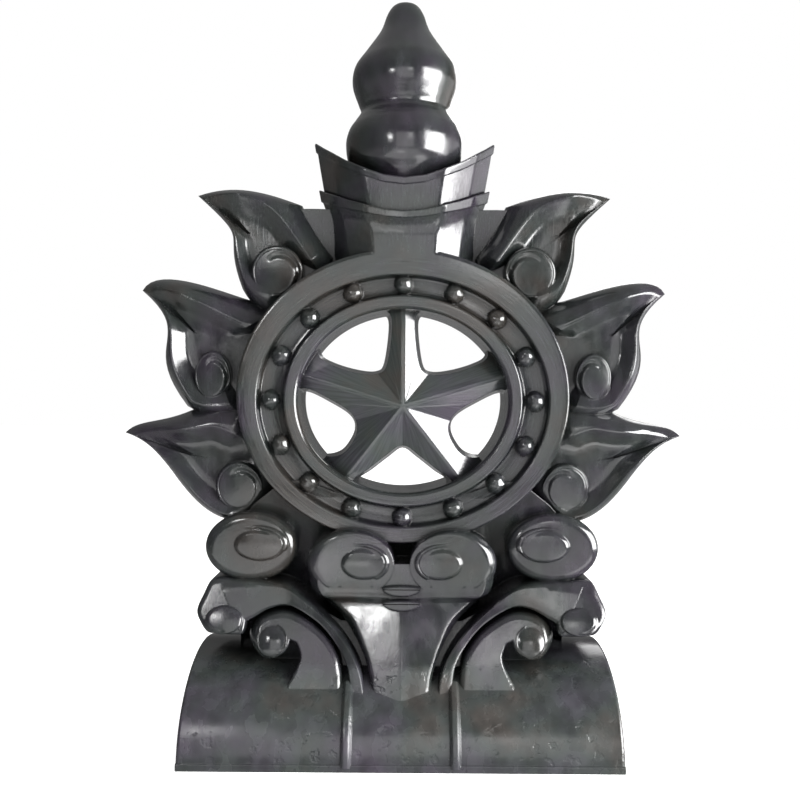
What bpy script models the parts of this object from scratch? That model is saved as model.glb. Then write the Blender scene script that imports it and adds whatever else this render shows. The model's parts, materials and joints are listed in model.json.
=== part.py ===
"""Roof ridge ornament: a moulded centre piece that straddles the ridge of a tiled roof.

One moulding, in metres, +Z up. X runs along the roof ridge, the show side faces -Y, and the
origin is the middle of the underside, on the plane that the saddle's two rims stand on.

From the bottom up: an arched saddle, a neck with two ears and scrolls, a ring with a beaded
channel and a five-pointed star, six flame leaves, a two-tier boat-shaped cup, a gourd finial.
"""

import math

import bmesh
import bpy
from mathutils import Vector

# Saddle: an arch that rides on the round ridge tile, open below and at both ends.
SADDLE_LENGTH = 0.328
SADDLE_DEPTH = 0.184
SADDLE_HEIGHT = 0.071
SADDLE_WALL = 0.006
SADDLE_STEPS = 18
SADDLE_END = [(0.0, 0.0018), (0.0018, 0.0)]
CUT_CLEARANCE = 0.010
RIB_X = 0.040
RIB_WIDTH = 0.008
RIB_HEIGHT = 0.003
RIB_TOP_Z = 0.054
RIB_FOOT_Z = 0.003
RIB_STEPS = 4
RIB_SECTION = [(-0.5, -1.0), (-0.5, 0.2), (-0.2, 1.0), (0.2, 1.0), (0.5, 0.2), (0.5, -1.0)]

# Ring: each edge of its stepped face is an ellipse, half width by half height.
RING_Z = 0.2733
RING_CORE_Z = 0.2693
RING_FACE_Y = 0.0315
RING_OUTER = (0.1331, 0.1178)
CHANNEL_OUTER = (0.1169, 0.1006)
CHANNEL_INNER = (0.0950, 0.0839)
RING_HOLE = (0.0831, 0.0725)
CHANNEL_FLOOR_Y = 0.0235
CHANNEL_DRAFT = 0.0018
BACK_CHANNEL_FLOOR_Y = 0.0275
RING_ARRIS = 0.0018
RING_STEPS = 44

# Beads: domes on the channel floor, evenly spaced by angle.
BEAD_COUNT = 16
BEAD_RADIUS = 0.0078
BEAD_PATH = (0.1060, 0.0932)
BEAD_SIDES = 8
BEAD_SECTION = [(1.0, -0.25), (0.92, 0.35), (0.52, 0.82)]

# Star: five arms that run into the hole's wall, each folded along a ridge.
STAR_Z = 0.2648
STAR_ARMS = 5
STAR_SQUASH = 0.93
STAR_APEX_Y = 0.0215
STAR_EDGE_Y = 0.0075
STAR_VALLEY_RADIUS = 0.0372
STAR_TIP_RADIUS = 0.1360
STAR_CUT_RADIUS = 0.1020

# Leaves: flat plates with drafted edges, dished on the face.
LEAF_FACE_Y = 0.020
LEAF_BACK_Y = 0.017
LEAF_DRAFT = 0.0058
LEAF_BACK_DRAFT = 0.0045
LEAF_STEPS = 7
DISH_FLOOR_Y = 0.0105
DISH_FLOOR_SCALE = 0.70
DISH_STEPS = 2
VOLUTE_SECTION = [(0.0, 0.0060), (0.0010, 0.0170), (0.0040, 0.0195)]
VOLUTE_SIDES = 14
EYE_SECTION = [(1.0, 0.0100), (1.0, 0.0200), (0.80, 0.0228), (0.40, 0.0240)]
EYE_SIDES = 10

# Each leaf has a tip, a Bezier edge above and one or two below, and its root in the ring.
UPPER_LEAF = {
    "tip": (0.1710, 0.4378),
    "top": [(0.1367, 0.4544), (0.0980, 0.4394), (0.0664, 0.4241)],
    "root": [(0.0480, 0.3750), (0.0900, 0.3300)],
    "lower": [[(0.1528, 0.4112), (0.1211, 0.3936)]],
    "lower_ends": [(0.1328, 0.3594)],
    "dish": [(0.1430, 0.4295), (0.1200, 0.4345), (0.1020, 0.4220), (0.0860, 0.3985),
             (0.0700, 0.3740), (0.0860, 0.3620), (0.1180, 0.3600), (0.1310, 0.3780),
             (0.1315, 0.4050)],
    "volute": (0.1029, 0.3728, 0.0214, 0.0214),
    "eye": (0.1010, 0.3755, 0.0135, 0.0140),
}
MIDDLE_LEAF = {
    "tip": (0.2166, 0.3590),
    "top": [(0.2049, 0.3834), (0.1420, 0.3542), (0.1245, 0.3511)],
    "root": [(0.0980, 0.3370), (0.1100, 0.2620)],
    "lower": [[(0.2208, 0.3184), (0.1679, 0.3177)]],
    "lower_ends": [(0.1776, 0.2631)],
    "dish": [(0.2000, 0.3525), (0.1790, 0.3495), (0.1550, 0.3430), (0.1260, 0.3260),
             (0.1210, 0.3100), (0.1300, 0.2790), (0.1550, 0.2690), (0.1760, 0.2810),
             (0.1830, 0.3020), (0.1835, 0.3300)],
    "volute": (0.1545, 0.2885, 0.0148, 0.0202),
    "eye": (0.1574, 0.2933, 0.0105, 0.0105),
}
LOWER_LEAF = {
    "tip": (0.2299, 0.2415),
    "top": [(0.2170, 0.2545), (0.1960, 0.2470), (0.1640, 0.2660)],
    "root": [(0.1180, 0.2760), (0.1000, 0.2000)],
    "lower": [[(0.2079, 0.2340), (0.1985, 0.2221)], [(0.1588, 0.1706), (0.1736, 0.1880)]],
    "lower_ends": [(0.1859, 0.2042), (0.1370, 0.1693)],
    "dish": [(0.2080, 0.2375), (0.1780, 0.2425), (0.1500, 0.2450), (0.1290, 0.2380),
             (0.1230, 0.2080), (0.1290, 0.1850), (0.1480, 0.1850), (0.1650, 0.2010),
             (0.1790, 0.2130), (0.1920, 0.2290)],
    "volute": (0.1323, 0.1989, 0.0194, 0.0206),
    "eye": (0.1311, 0.1980, 0.0130, 0.0130),
}

# Web: the plain wall behind the scrolls, from the saddle to the ring.
WEB_FACE_Y = 0.021
WEB_HALF_OUTLINE = [(0.126, 0.030), (0.132, 0.096), (0.143, 0.128), (0.131, 0.172), (0.090, 0.205)]

# Neck: a panel that comes forward as it goes down to the saddle. Its outline is half widths at
# heights. It starts flat under the ears, then folds more and more sharply down the middle.
NECK_OUTLINE = [(0.0450, 0.0185), (0.0620, 0.0200), (0.0760, 0.0232), (0.0880, 0.0290), (0.0960, 0.0355),
                (0.1030, 0.0455), (0.1100, 0.0580), (0.1180, 0.0675), (0.1290, 0.0715)]
NECK_BEVEL_WIDTH = 0.0050
NECK_BEVEL_DEPTH = 0.0035
FOLD_TOP_Y = 0.0403
FOLD_TOP_Z = 0.1290
FOLD_RISE = 0.388
FOLD_FALL = 0.20
FOLD_GROWTH = 0.030
NECK_BACK_DROP = 0.0040
LENS_HEIGHTS = (0.1108, 0.1215)
LENS_HALF_WIDTH = 0.0150
LENS_HALF_HEIGHT = 0.0043
LENS_RISE = 0.0050
LENS_SIDES = 10
LENS_SECTION = [(1.0, 0.0245), (1.0, 0.0010), (0.7, 0.0)]

# Plates with a raised eye: the bevel of their front edge and the eye's section (scale, drop).
PLATE_ARRIS = 0.0014
PLATE_EYE_SIDES = 12
EYE_PROFILE = [(1.0, 0.0150), (1.0, 0.0025), (0.80, 0.0)]

# Ears: the two round shoulders of the neck under the ring.
EAR_FACE_Y = 0.0400
EAR_DRAFT = 0.0025
EAR_CENTRE = (0.0385, 0.1415)
EAR_HALF_SIZE = (0.0362, 0.0268)
EAR_SIDES = 20
EAR_EYE = (0.0300, 0.1410, 0.0188, 0.0125)
EAR_EYE_FACE_Y = 0.0430

# Oval scrolls beside the ring's foot, and the plain ledge that runs across behind them.
OVAL_FACE_Y = 0.0350
OVAL_DRAFT = 0.0025
OVAL = (0.1202, 0.1525, 0.0362, 0.0275)
OVAL_SIDES = 22
OVAL_EYE = (0.1138, 0.1560, 0.0209, 0.0146)
OVAL_EYE_FACE_Y = 0.0385
LEDGE_FACE_Y = 0.0280
LEDGE_HALF_OUTLINE = [(0.1200, 0.1256), (0.1200, 0.1470), (0.0900, 0.1700)]

# Sloping scrolls: their faces lie on a plane that comes forward toward the saddle.
SLOPE_TOP_Y = 0.0390
SLOPE_TOP_Z = 0.1250
SLOPE_RISE = 0.36
BAND_PATH = [(0.0290, 0.0450), (0.0330, 0.0980), (0.0720, 0.1190), (0.1360, 0.1130)]
BAND_HALF_WIDTHS = (0.0085, 0.0105, 0.0140, 0.0100)
BAND_STEPS = 11
CURL = (0.1380, 0.1025, 0.0198, 0.0198)
CURL_SIDES = 18
CURL_EYE = (0.1350, 0.0995, 0.0125, 0.0118)
CURL_EYE_RISE = 0.0035
BED_HALF_OUTLINE = [(0.0560, 0.0400), (0.0660, 0.0720), (0.0880, 0.0880), (0.0900, 0.1110), (0.0550, 0.1190)]
BED_DROP = 0.0080
BED_DRAFT = 0.0120
LOBE_FOOT = (0.0440, 0.0400)
LOBE_TOP = (0.0950, 0.0962)
LOBE_CHIN = (0.0985, 0.0660)
LOBE_THROAT = (0.0860, 0.0810)
LOBE_THROAT_END = (0.0805, 0.0810)
LOBE_TOE = (0.0765, 0.0400)
LOBE_SHOULDER = [(0.0450, 0.0660), (0.0600, 0.0962)]
LOBE_CHEEK = [(0.1150, 0.0962), (0.1150, 0.0680)]
LOBE_THROAT_CURVE = [(0.0920, 0.0650), (0.0880, 0.0730)]
LOBE_STEPS = 7
LOBE_RECESS = 0.0025
LOBE_BACKING_DROP = 0.0110
LOBE_BACKING_TOE = (0.0850, 0.0400)
LOBE_EYE = (0.0945, 0.0812, 0.0125, 0.0120)
LOBE_EYE_RISE = 0.0030
SLOPING_EYE_SECTION = [(1.0, -3.5), (1.0, 0.4), (0.82, 0.8), (0.45, 1.0)]
SCROLL_DRAFT = 0.0020
SCROLL_ARRIS = 0.0012
BACK_DROP = 0.0040
CURL_RISE = 0.0009

# Cup: two boat-shaped tiers with upturned ends, each a list of rings
# (half length, half depth, height at the middle, height at the ends).
CUP_RIM_POWER = 1.9
CUP_PLAN = [(1.00, 0.00), (0.80, 0.50), (0.45, 0.95), (0.00, 1.00)]
LOWER_TIER = [
    (0.0500, 0.0270, 0.3720, 0.3720),
    (0.0530, 0.0300, 0.3900, 0.3900),
    (0.0706, 0.0450, 0.4173, 0.4432),
    (0.0670, 0.0415, 0.4173, 0.4420),
    (0.0600, 0.0350, 0.4100, 0.4100),
]
UPPER_TIER = [
    (0.0560, 0.0320, 0.3800, 0.3800),
    (0.0640, 0.0405, 0.4120, 0.4200),
    (0.0740, 0.0445, 0.4431, 0.4820),
    (0.0700, 0.0400, 0.4431, 0.4790),
    (0.0610, 0.0330, 0.4370, 0.4370),
]

# Gourd: a turned profile, height and radius.
GOURD_SIDES = 18
GOURD_PROFILE = [
    (0.4200, 0.0300), (0.4480, 0.0360), (0.4640, 0.0460), (0.4800, 0.0486), (0.4910, 0.0462),
    (0.4990, 0.0410), (0.5068, 0.0364), (0.5150, 0.0388), (0.5290, 0.0434), (0.5430, 0.0418),
    (0.5560, 0.0330), (0.5740, 0.0207), (0.5900, 0.0136), (0.5968, 0.0070), (0.5980, 0.0000),
]

# Insets: the longest mitre at a corner, and how they ease off toward a leaf's tip.
MITRE_LIMIT = 0.45
TIP_SHARE = 0.25
TIP_REACH = 0.030

SHARP_ANGLE = math.radians(32.0)
FLAT_WITHIN = 1e-6
FORE = -1.0
REAR = 1.0
RESIN_COLOUR = (0.078, 0.078, 0.082, 1.0)
RESIN_ROUGHNESS = 0.28


def clear_scene():
    for thing in list(bpy.data.objects):
        bpy.data.objects.remove(thing, do_unlink=True)


def is_warped(face):
    """Whether a face's corners are off its own plane."""
    middle = face.calc_center_median()
    return any(abs((vert.co - middle).dot(face.normal)) > FLAT_WITHIN for vert in face.verts)


def make_object(name, bm):
    """Link a new object for the mesh, with its faces turned outward and its warped ones split."""
    bmesh.ops.recalc_face_normals(bm, faces=bm.faces[:])
    bm.normal_update()
    bmesh.ops.triangulate(bm, faces=[face for face in bm.faces if is_warped(face)])
    if bm.calc_volume(signed=True) < 0.0:
        bmesh.ops.reverse_faces(bm, faces=bm.faces[:])
    mesh = bpy.data.meshes.new(name)
    bm.to_mesh(mesh)
    bm.free()
    thing = bpy.data.objects.new(name, mesh)
    bpy.context.scene.collection.objects.link(thing)
    return thing


def bezier(start, first, second, end, steps):
    """Points along a cubic Bezier, leaving out its last point."""
    points = []
    for i in range(steps):
        t = i / steps
        s = 1.0 - t
        weights = (s ** 3, 3 * s * s * t, 3 * s * t * t, t ** 3)
        corners = (start, first, second, end)
        points.append((sum(w * c[0] for w, c in zip(weights, corners)),
                       sum(w * c[1] for w, c in zip(weights, corners))))
    return points


def smooth_loop(knots, steps):
    """A closed Catmull-Rom curve through the knots."""
    points = []
    count = len(knots)
    for i in range(count):
        before, start, end, after = (knots[(i + k) % count] for k in (-1, 0, 1, 2))
        first = tuple(start[k] + (end[k] - before[k]) / 6.0 for k in (0, 1))
        second = tuple(end[k] - (after[k] - start[k]) / 6.0 for k in (0, 1))
        points += bezier(start, first, second, end, steps)
    return points


def ellipse(centre_x, centre_z, half_x, half_z, sides):
    turn = 2.0 * math.pi / sides
    return [(centre_x + half_x * math.cos(turn * i), centre_z + half_z * math.sin(turn * i))
            for i in range(sides)]


def mirrored(outline):
    return [(-x, z) for x, z in reversed(outline)]


def inset_loop(outline, distance, tip=None):
    """Move every corner of a closed outline inward by the same distance, less near a tip."""
    area = sum(a[0] * b[1] - b[0] * a[1] for a, b in zip(outline, outline[1:] + outline[:1]))
    side = 1.0 if area > 0 else -1.0
    result = []
    for i, point in enumerate(outline):
        here = Vector(point)
        into = (here - Vector(outline[i - 1])).normalized()
        away = (Vector(outline[(i + 1) % len(outline)]) - here).normalized()
        normal = Vector((-(into + away).y, (into + away).x)).normalized() * side
        stretch = 1.0 / max(MITRE_LIMIT, normal.dot(Vector((-into.y, into.x)) * side))
        amount = distance * stretch
        if tip is not None:
            amount *= min(1.0, TIP_SHARE + (here - Vector(tip)).length / TIP_REACH)
        moved = here + normal * amount
        result.append((moved.x, moved.y))
    return result


def scaled_loop(outline, factor):
    centre_x = sum(p[0] for p in outline) / len(outline)
    centre_z = sum(p[1] for p in outline) / len(outline)
    return [(centre_x + (x - centre_x) * factor, centre_z + (z - centre_z) * factor)
            for x, z in outline]


def loft(name, rings, closed_path=False):
    """Join rings of equal length into one skin, capped unless the path is closed."""
    bm = bmesh.new()
    rows = [[bm.verts.new(point) for point in ring] for ring in rings]
    count = len(rows[0])
    pairs = list(zip(rows, rows[1:]))
    if closed_path:
        pairs.append((rows[-1], rows[0]))
    for low, high in pairs:
        for i in range(count):
            j = (i + 1) % count
            bm.faces.new((low[i], low[j], high[j], high[i]))
    if not closed_path:
        bm.faces.new(rows[0])
        bm.faces.new(rows[-1])
    return make_object(name, bm)


def plate(name, levels):
    """Loft from (outline, y) levels, each outline a list of (x, z)."""
    return loft(name, [[(x, y, z) for x, z in outline] for outline, y in levels])


def sloping_y(z, rise):
    """Forward reach of the sloping scrolls at a height, raised by some relief."""
    return -(SLOPE_TOP_Y + SLOPE_RISE * (SLOPE_TOP_Z - z) + rise)


def sloping_plate(name, outline, rise):
    """A plate whose front and plainer, lower back both slope forward toward the saddle."""
    rim = inset_loop(outline, SCROLL_DRAFT)
    crown = inset_loop(outline, SCROLL_DRAFT + SCROLL_ARRIS)
    levels = [(rim, REAR, rise - BACK_DROP), (outline, 0.0, 0.0),
              (rim, FORE, rise - SCROLL_ARRIS), (crown, FORE, rise)]
    return loft(name, [[(x, -side * sloping_y(z, lift), z) for x, z in loop]
                       for loop, side, lift in levels])


def unite(base, others):
    """Add other solids to the base and remove them from the scene."""
    return combine(base, others, "UNION")


def cut(base, others):
    return combine(base, others, "DIFFERENCE")


def combine(base, others, operation):
    for other in others:
        modifier = base.modifiers.new(operation, "BOOLEAN")
        modifier.operation = operation
        modifier.solver = "EXACT"
        modifier.object = other
        depsgraph = bpy.context.evaluated_depsgraph_get()
        result = bpy.data.meshes.new_from_object(base.evaluated_get(depsgraph))
        base.modifiers.clear()
        base.data = result
        bpy.data.objects.remove(other, do_unlink=True)
    return base


def mirror_copy(thing, name):
    """A copy of a solid reflected in the plane X = 0, with its own mesh."""
    bm = bmesh.new()
    bm.from_mesh(thing.data)
    for vert in bm.verts:
        vert.co.x = -vert.co.x
    bmesh.ops.reverse_faces(bm, faces=bm.faces[:])
    return make_object(name, bm)


def half_ellipse(half_depth, height):
    """The upper half of an ellipse, as (y, z) points from +Y over to -Y."""
    turn = math.pi / SADDLE_STEPS
    return [(half_depth * math.cos(turn * i), height * math.sin(turn * i)) for i in range(SADDLE_STEPS + 1)]


def make_saddle():
    """The arch as a full half round with rounded end edges; its tunnel is cut last."""
    rings = []
    for side in (FORE, REAR):
        for across, shrink in SADDLE_END:
            x = side * (SADDLE_LENGTH / 2 - across)
            rings.append((x, half_ellipse(SADDLE_DEPTH / 2 - shrink, SADDLE_HEIGHT - shrink)))
    rings.sort(key=lambda ring: ring[0])
    return loft("saddle", [[(x, y, z) for y, z in section] for x, section in rings])


def make_tunnel():
    """The hollow under the arch, as a cutter that runs out past both ends and below the rims."""
    section = half_ellipse(SADDLE_DEPTH / 2 - SADDLE_WALL, SADDLE_HEIGHT - SADDLE_WALL)
    section = [(section[0][0], -CUT_CLEARANCE)] + section + [(section[-1][0], -CUT_CLEARANCE)]
    reach = SADDLE_LENGTH / 2 + CUT_CLEARANCE
    return loft("tunnel", [[(x, y, z) for y, z in section] for x in (-reach, reach)])


def make_ribs():
    """Raised ribs that run down the arch from the neck's foot, two on each side."""
    half_depth = SADDLE_DEPTH / 2
    start = math.asin(RIB_FOOT_Z / SADDLE_HEIGHT)
    stop = math.asin(RIB_TOP_Z / SADDLE_HEIGHT)
    ribs = []
    for side in (FORE, REAR):
        for x in (-RIB_X, RIB_X):
            rings = []
            for i in range(RIB_STEPS + 1):
                angle = start + (stop - start) * i / RIB_STEPS
                along = Vector((side * half_depth * math.cos(angle), SADDLE_HEIGHT * math.sin(angle)))
                out = Vector((side * math.cos(angle) / half_depth, math.sin(angle) / SADDLE_HEIGHT))
                out.normalize()
                ring = []
                for across, lift in RIB_SECTION:
                    spot = along + out * RIB_HEIGHT * lift
                    ring.append((x + RIB_WIDTH * across, spot.x, spot.y))
                rings.append(ring)
            ribs.append(loft("rib", rings))
    return ribs


def make_ring():
    """The ring's stepped section swept round its ellipses, front and back."""
    def edge(half_sizes, grow, y, centre_z):
        return (half_sizes[0] + grow, half_sizes[1] + grow, y, centre_z)

    front = -RING_FACE_Y
    section = [
        edge(RING_OUTER, 0.0, front + RING_ARRIS, RING_Z),
        edge(RING_OUTER, -RING_ARRIS, front, RING_Z),
        edge(CHANNEL_OUTER, 0.0, front, RING_CORE_Z),
        edge(CHANNEL_OUTER, -CHANNEL_DRAFT, -CHANNEL_FLOOR_Y, RING_CORE_Z),
        edge(CHANNEL_INNER, CHANNEL_DRAFT, -CHANNEL_FLOOR_Y, RING_CORE_Z),
        edge(CHANNEL_INNER, 0.0, front, RING_CORE_Z),
        edge(RING_HOLE, RING_ARRIS, front, RING_CORE_Z),
        edge(RING_HOLE, 0.0, front + RING_ARRIS, RING_CORE_Z),
        edge(RING_HOLE, 0.0, -front, RING_CORE_Z),
        edge(CHANNEL_INNER, 0.0, -front, RING_CORE_Z),
        edge(CHANNEL_INNER, CHANNEL_DRAFT, BACK_CHANNEL_FLOOR_Y, RING_CORE_Z),
        edge(CHANNEL_OUTER, -CHANNEL_DRAFT, BACK_CHANNEL_FLOOR_Y, RING_CORE_Z),
        edge(CHANNEL_OUTER, 0.0, -front, RING_CORE_Z),
        edge(RING_OUTER, 0.0, -front, RING_Z),
    ]
    rings = []
    for i in range(RING_STEPS):
        angle = 2.0 * math.pi * i / RING_STEPS
        rings.append([(a * math.cos(angle), y, centre + b * math.sin(angle)) for a, b, y, centre in section])
    return loft("ring", rings, closed_path=True)


def make_beads():
    """Low domes in the channel, each a ball cut off below the floor."""
    beads = []
    for i in range(BEAD_COUNT):
        angle = 2.0 * math.pi * i / BEAD_COUNT
        x = BEAD_PATH[0] * math.sin(angle)
        z = RING_CORE_Z + BEAD_PATH[1] * math.cos(angle)
        levels = []
        for width, rise in BEAD_SECTION:
            outline = ellipse(x, z, BEAD_RADIUS * width, BEAD_RADIUS * width, BEAD_SIDES)
            levels.append((outline, -(CHANNEL_FLOOR_Y + BEAD_RADIUS * rise)))
        beads.append(plate("bead", levels))
    return beads


def make_star():
    """Ten-sided star, cut off inside the ring, with a ridge down each arm, front and back."""
    def spot(radius, angle):
        return (radius * math.sin(angle), STAR_Z + radius * math.cos(angle) * STAR_SQUASH)

    turn = math.pi / STAR_ARMS
    share = (STAR_CUT_RADIUS - STAR_VALLEY_RADIUS * math.cos(turn))
    share /= STAR_TIP_RADIUS - STAR_VALLEY_RADIUS * math.cos(turn)
    half_width = STAR_VALLEY_RADIUS * math.sin(turn) * (1.0 - share)
    spread = math.atan2(half_width, STAR_CUT_RADIUS)
    end_radius = math.hypot(half_width, STAR_CUT_RADIUS)
    ridge_y = STAR_EDGE_Y + (STAR_APEX_Y - STAR_EDGE_Y) * (1.0 - STAR_CUT_RADIUS / STAR_TIP_RADIUS)
    bm = bmesh.new()
    apex = {side: bm.verts.new((0.0, side * STAR_APEX_Y, STAR_Z)) for side in (FORE, REAR)}
    rim = []
    for arm in range(STAR_ARMS):
        middle = 2.0 * turn * arm
        rim.append(("valley", spot(STAR_VALLEY_RADIUS, middle - turn)))
        rim.append(("edge", spot(end_radius, middle - spread)))
        rim.append(("ridge", spot(STAR_CUT_RADIUS, middle)))
        rim.append(("edge", spot(end_radius, middle + spread)))
    rows = {}
    for side in (FORE, REAR):
        rows[side] = [bm.verts.new((x, side * (ridge_y if kind == "ridge" else STAR_EDGE_Y), z))
                      for kind, (x, z) in rim]
    count = len(rim)
    for i in range(count):
        j = (i + 1) % count
        if rim[i][0] == "valley":
            for side in (FORE, REAR):
                row = rows[side]
                k = (i + 2) % count
                last = (i + 4) % count
                bm.faces.new((apex[side], row[i], row[j], row[k]))
                bm.faces.new((apex[side], row[k], row[(i + 3) % count], row[last]))
        bm.faces.new((rows[FORE][i], rows[FORE][j], rows[REAR][j], rows[REAR][i]))
    return make_object("star", bm)


def leaf_outline(leaf):
    """Closed outline: tip, upper edge, root in the ring, then the lower edge back to the tip."""
    top = leaf["top"]
    outline = bezier(leaf["tip"], top[0], top[1], top[2], LEAF_STEPS)
    outline.append(top[2])
    outline += leaf["root"]
    spots = list(reversed(leaf["lower_ends"])) + [leaf["tip"]]
    for i, handles in enumerate(reversed(leaf["lower"])):
        outline += bezier(spots[i], handles[0], handles[1], spots[i + 1], LEAF_STEPS)
    return outline


def make_leaf(name, leaf):
    outline = leaf_outline(leaf)
    body = plate(name, [
        (inset_loop(outline, LEAF_DRAFT, leaf["tip"]), -LEAF_FACE_Y),
        (outline, 0.0),
        (inset_loop(outline, LEAF_BACK_DRAFT, leaf["tip"]), LEAF_BACK_Y),
    ])
    dish = smooth_loop(leaf["dish"], DISH_STEPS)
    floor = scaled_loop(dish, DISH_FLOOR_SCALE)
    mouth_y = -LEAF_FACE_Y - CUT_CLEARANCE
    cut(body, [plate("dish", [(dish, mouth_y), (dish, -LEAF_FACE_Y), (floor, -DISH_FLOOR_Y)])])
    x, z, half_x, half_z = leaf["volute"]
    volute = plate("volute", [(ellipse(x, z, half_x - narrow, half_z - narrow, VOLUTE_SIDES), -y)
                              for narrow, y in VOLUTE_SECTION])
    x, z, half_x, half_z = leaf["eye"]
    eye = plate("eye", [(ellipse(x, z, half_x * width, half_z * width, EYE_SIDES), -y)
                        for width, y in EYE_SECTION])
    return unite(body, [volute, eye])


def make_web():
    outline = WEB_HALF_OUTLINE + mirrored(WEB_HALF_OUTLINE)
    return plate("web", [(outline, -WEB_FACE_Y), (outline, WEB_FACE_Y)])


def make_ledge():
    outline = LEDGE_HALF_OUTLINE + mirrored(LEDGE_HALF_OUTLINE)
    return plate("ledge", [(outline, -LEDGE_FACE_Y), (outline, LEDGE_FACE_Y - BACK_DROP)])


def make_bed():
    """The sloping bed behind the neck, bands and lobes, which closes the grooves between them."""
    outline = BED_HALF_OUTLINE + mirrored(BED_HALF_OUTLINE)
    middle = inset_loop(outline, -BED_DRAFT)
    levels = [(outline, FORE, 0.0), (middle, 0.0, 0.0), (outline, REAR, BACK_DROP)]
    return loft("bed", [[(x, -side * sloping_y(z, -BED_DROP - extra), z) for x, z in loop]
                        for loop, side, extra in levels])


def fold_y(z):
    """How far forward the neck's fold line is at a height."""
    return FOLD_TOP_Y + FOLD_RISE * (FOLD_TOP_Z - z)


def make_neck():
    """The folded panel: at each height, a section with a fold front and back and bevelled sides."""
    rings = []
    for z, half_width in NECK_OUTLINE:
        fall = FOLD_FALL * min(1.0, (FOLD_TOP_Z - z) / FOLD_GROWTH)
        inner = half_width - NECK_BEVEL_WIDTH
        crest_y = fold_y(z) - fall * inner
        edge_y = crest_y - NECK_BEVEL_DEPTH
        half = [(0.0, fold_y(z)), (inner, crest_y), (half_width, edge_y)]
        front = [(x, -y, z) for x, y in half]
        back = [(x, y - NECK_BACK_DROP, z) for x, y in half]
        right = front + back[::-1]
        left = [(-x, y, z) for x, y, z in reversed(right[1:-1])]
        rings.append(right + left)
    return loft("neck", rings)


def make_lenses():
    """Two short lens-shaped bars across the fold, on the show side."""
    bars = []
    for z in LENS_HEIGHTS:
        outline = ellipse(0.0, z, LENS_HALF_WIDTH, LENS_HALF_HEIGHT, LENS_SIDES)
        face_y = fold_y(z) + LENS_RISE
        bars.append(plate("lens", [(scaled_loop(outline, width), drop - face_y)
                                   for width, drop in LENS_SECTION]))
    return bars


def stepped_plate(name, outline, face_y, draft):
    """A plate with a drafted, slightly rounded front and a plainer, lower back."""
    return plate(name, [
        (inset_loop(outline, draft + PLATE_ARRIS), -face_y),
        (inset_loop(outline, draft), -face_y + PLATE_ARRIS),
        (outline, 0.0),
        (inset_loop(outline, draft), face_y - BACK_DROP),
    ])


def raised_eye(name, oval, face_y):
    """A low boss with a bevelled edge, sunk well into the plate that it stands on."""
    x, z, half_x, half_z = oval
    return plate(name, [(ellipse(x, z, half_x * width, half_z * width, PLATE_EYE_SIDES), drop - face_y)
                        for width, drop in EYE_PROFILE])


def make_ears():
    """Each ear is an oval plate with its own raised eye, one on each side of the fold."""
    solids = []
    for side in (-1.0, 1.0):
        outline = ellipse(side * EAR_CENTRE[0], EAR_CENTRE[1], EAR_HALF_SIZE[0], EAR_HALF_SIZE[1], EAR_SIDES)
        solids.append(stepped_plate("ear", outline, EAR_FACE_Y, EAR_DRAFT))
        oval = (side * EAR_EYE[0],) + EAR_EYE[1:]
        solids.append(raised_eye("ear_eye", oval, EAR_EYE_FACE_Y))
    return solids


def make_oval_scroll():
    """Right-hand oval scroll with its raised eye."""
    scroll = stepped_plate("oval_scroll", ellipse(*OVAL, OVAL_SIDES), OVAL_FACE_Y, OVAL_DRAFT)
    return unite(scroll, [raised_eye("oval_eye", OVAL_EYE, OVAL_EYE_FACE_Y)])


def band_outline():
    """Right-hand band: a strip of changing width along a Bezier path."""
    path = bezier(*BAND_PATH, BAND_STEPS) + [BAND_PATH[3]]
    left = []
    right = []
    for i, point in enumerate(path):
        share = i / BAND_STEPS
        before = Vector(path[max(i - 1, 0)])
        after = Vector(path[min(i + 1, BAND_STEPS)])
        along = (after - before).normalized()
        across = Vector((-along.y, along.x))
        place = share * (len(BAND_HALF_WIDTHS) - 1)
        k = min(int(place), len(BAND_HALF_WIDTHS) - 2)
        width = BAND_HALF_WIDTHS[k] + (BAND_HALF_WIDTHS[k + 1] - BAND_HALF_WIDTHS[k]) * (place - k)
        here = Vector(point)
        left.append(tuple(here + across * width))
        right.append(tuple(here - across * width))
    return right + left[::-1]


def sloping_eye(name, oval, base, rise):
    """A raised eye that follows the sloping face, from its base level up to its rise."""
    x, z, half_x, half_z = oval
    rings = []
    for width, share in SLOPING_EYE_SECTION:
        outline = ellipse(x, z, half_x * width, half_z * width, EYE_SIDES)
        rings.append([(px, sloping_y(pz, base + rise * share), pz) for px, pz in outline])
    return loft(name, rings)


def make_band_scroll():
    """Right-hand band and curl, with an eye on the front."""
    scroll = sloping_plate("band", band_outline(), 0.0)
    curl = sloping_plate("curl", ellipse(*CURL, CURL_SIDES), CURL_RISE)
    return unite(scroll, [curl, sloping_eye("curl_eye", CURL_EYE, CURL_RISE, CURL_EYE_RISE)])


def make_lobe():
    """Right-hand comma-shaped lobe on the saddle, with a hollow behind its rolled end."""
    roll = bezier(LOBE_FOOT, *LOBE_SHOULDER, LOBE_TOP, LOBE_STEPS)
    roll += bezier(LOBE_TOP, *LOBE_CHEEK, LOBE_CHIN, LOBE_STEPS)
    hook = roll + bezier(LOBE_CHIN, *LOBE_THROAT_CURVE, LOBE_THROAT, 3)
    hook += [LOBE_THROAT, LOBE_THROAT_END, LOBE_TOE]
    filled = inset_loop(roll + [LOBE_CHIN, LOBE_BACKING_TOE], SCROLL_DRAFT)
    lobe = sloping_plate("lobe", hook, -LOBE_RECESS)
    backing = sloping_plate("lobe_backing", filled, -LOBE_BACKING_DROP)
    return unite(lobe, [backing, sloping_eye("lobe_eye", LOBE_EYE, -LOBE_RECESS, LOBE_EYE_RISE)])


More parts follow.
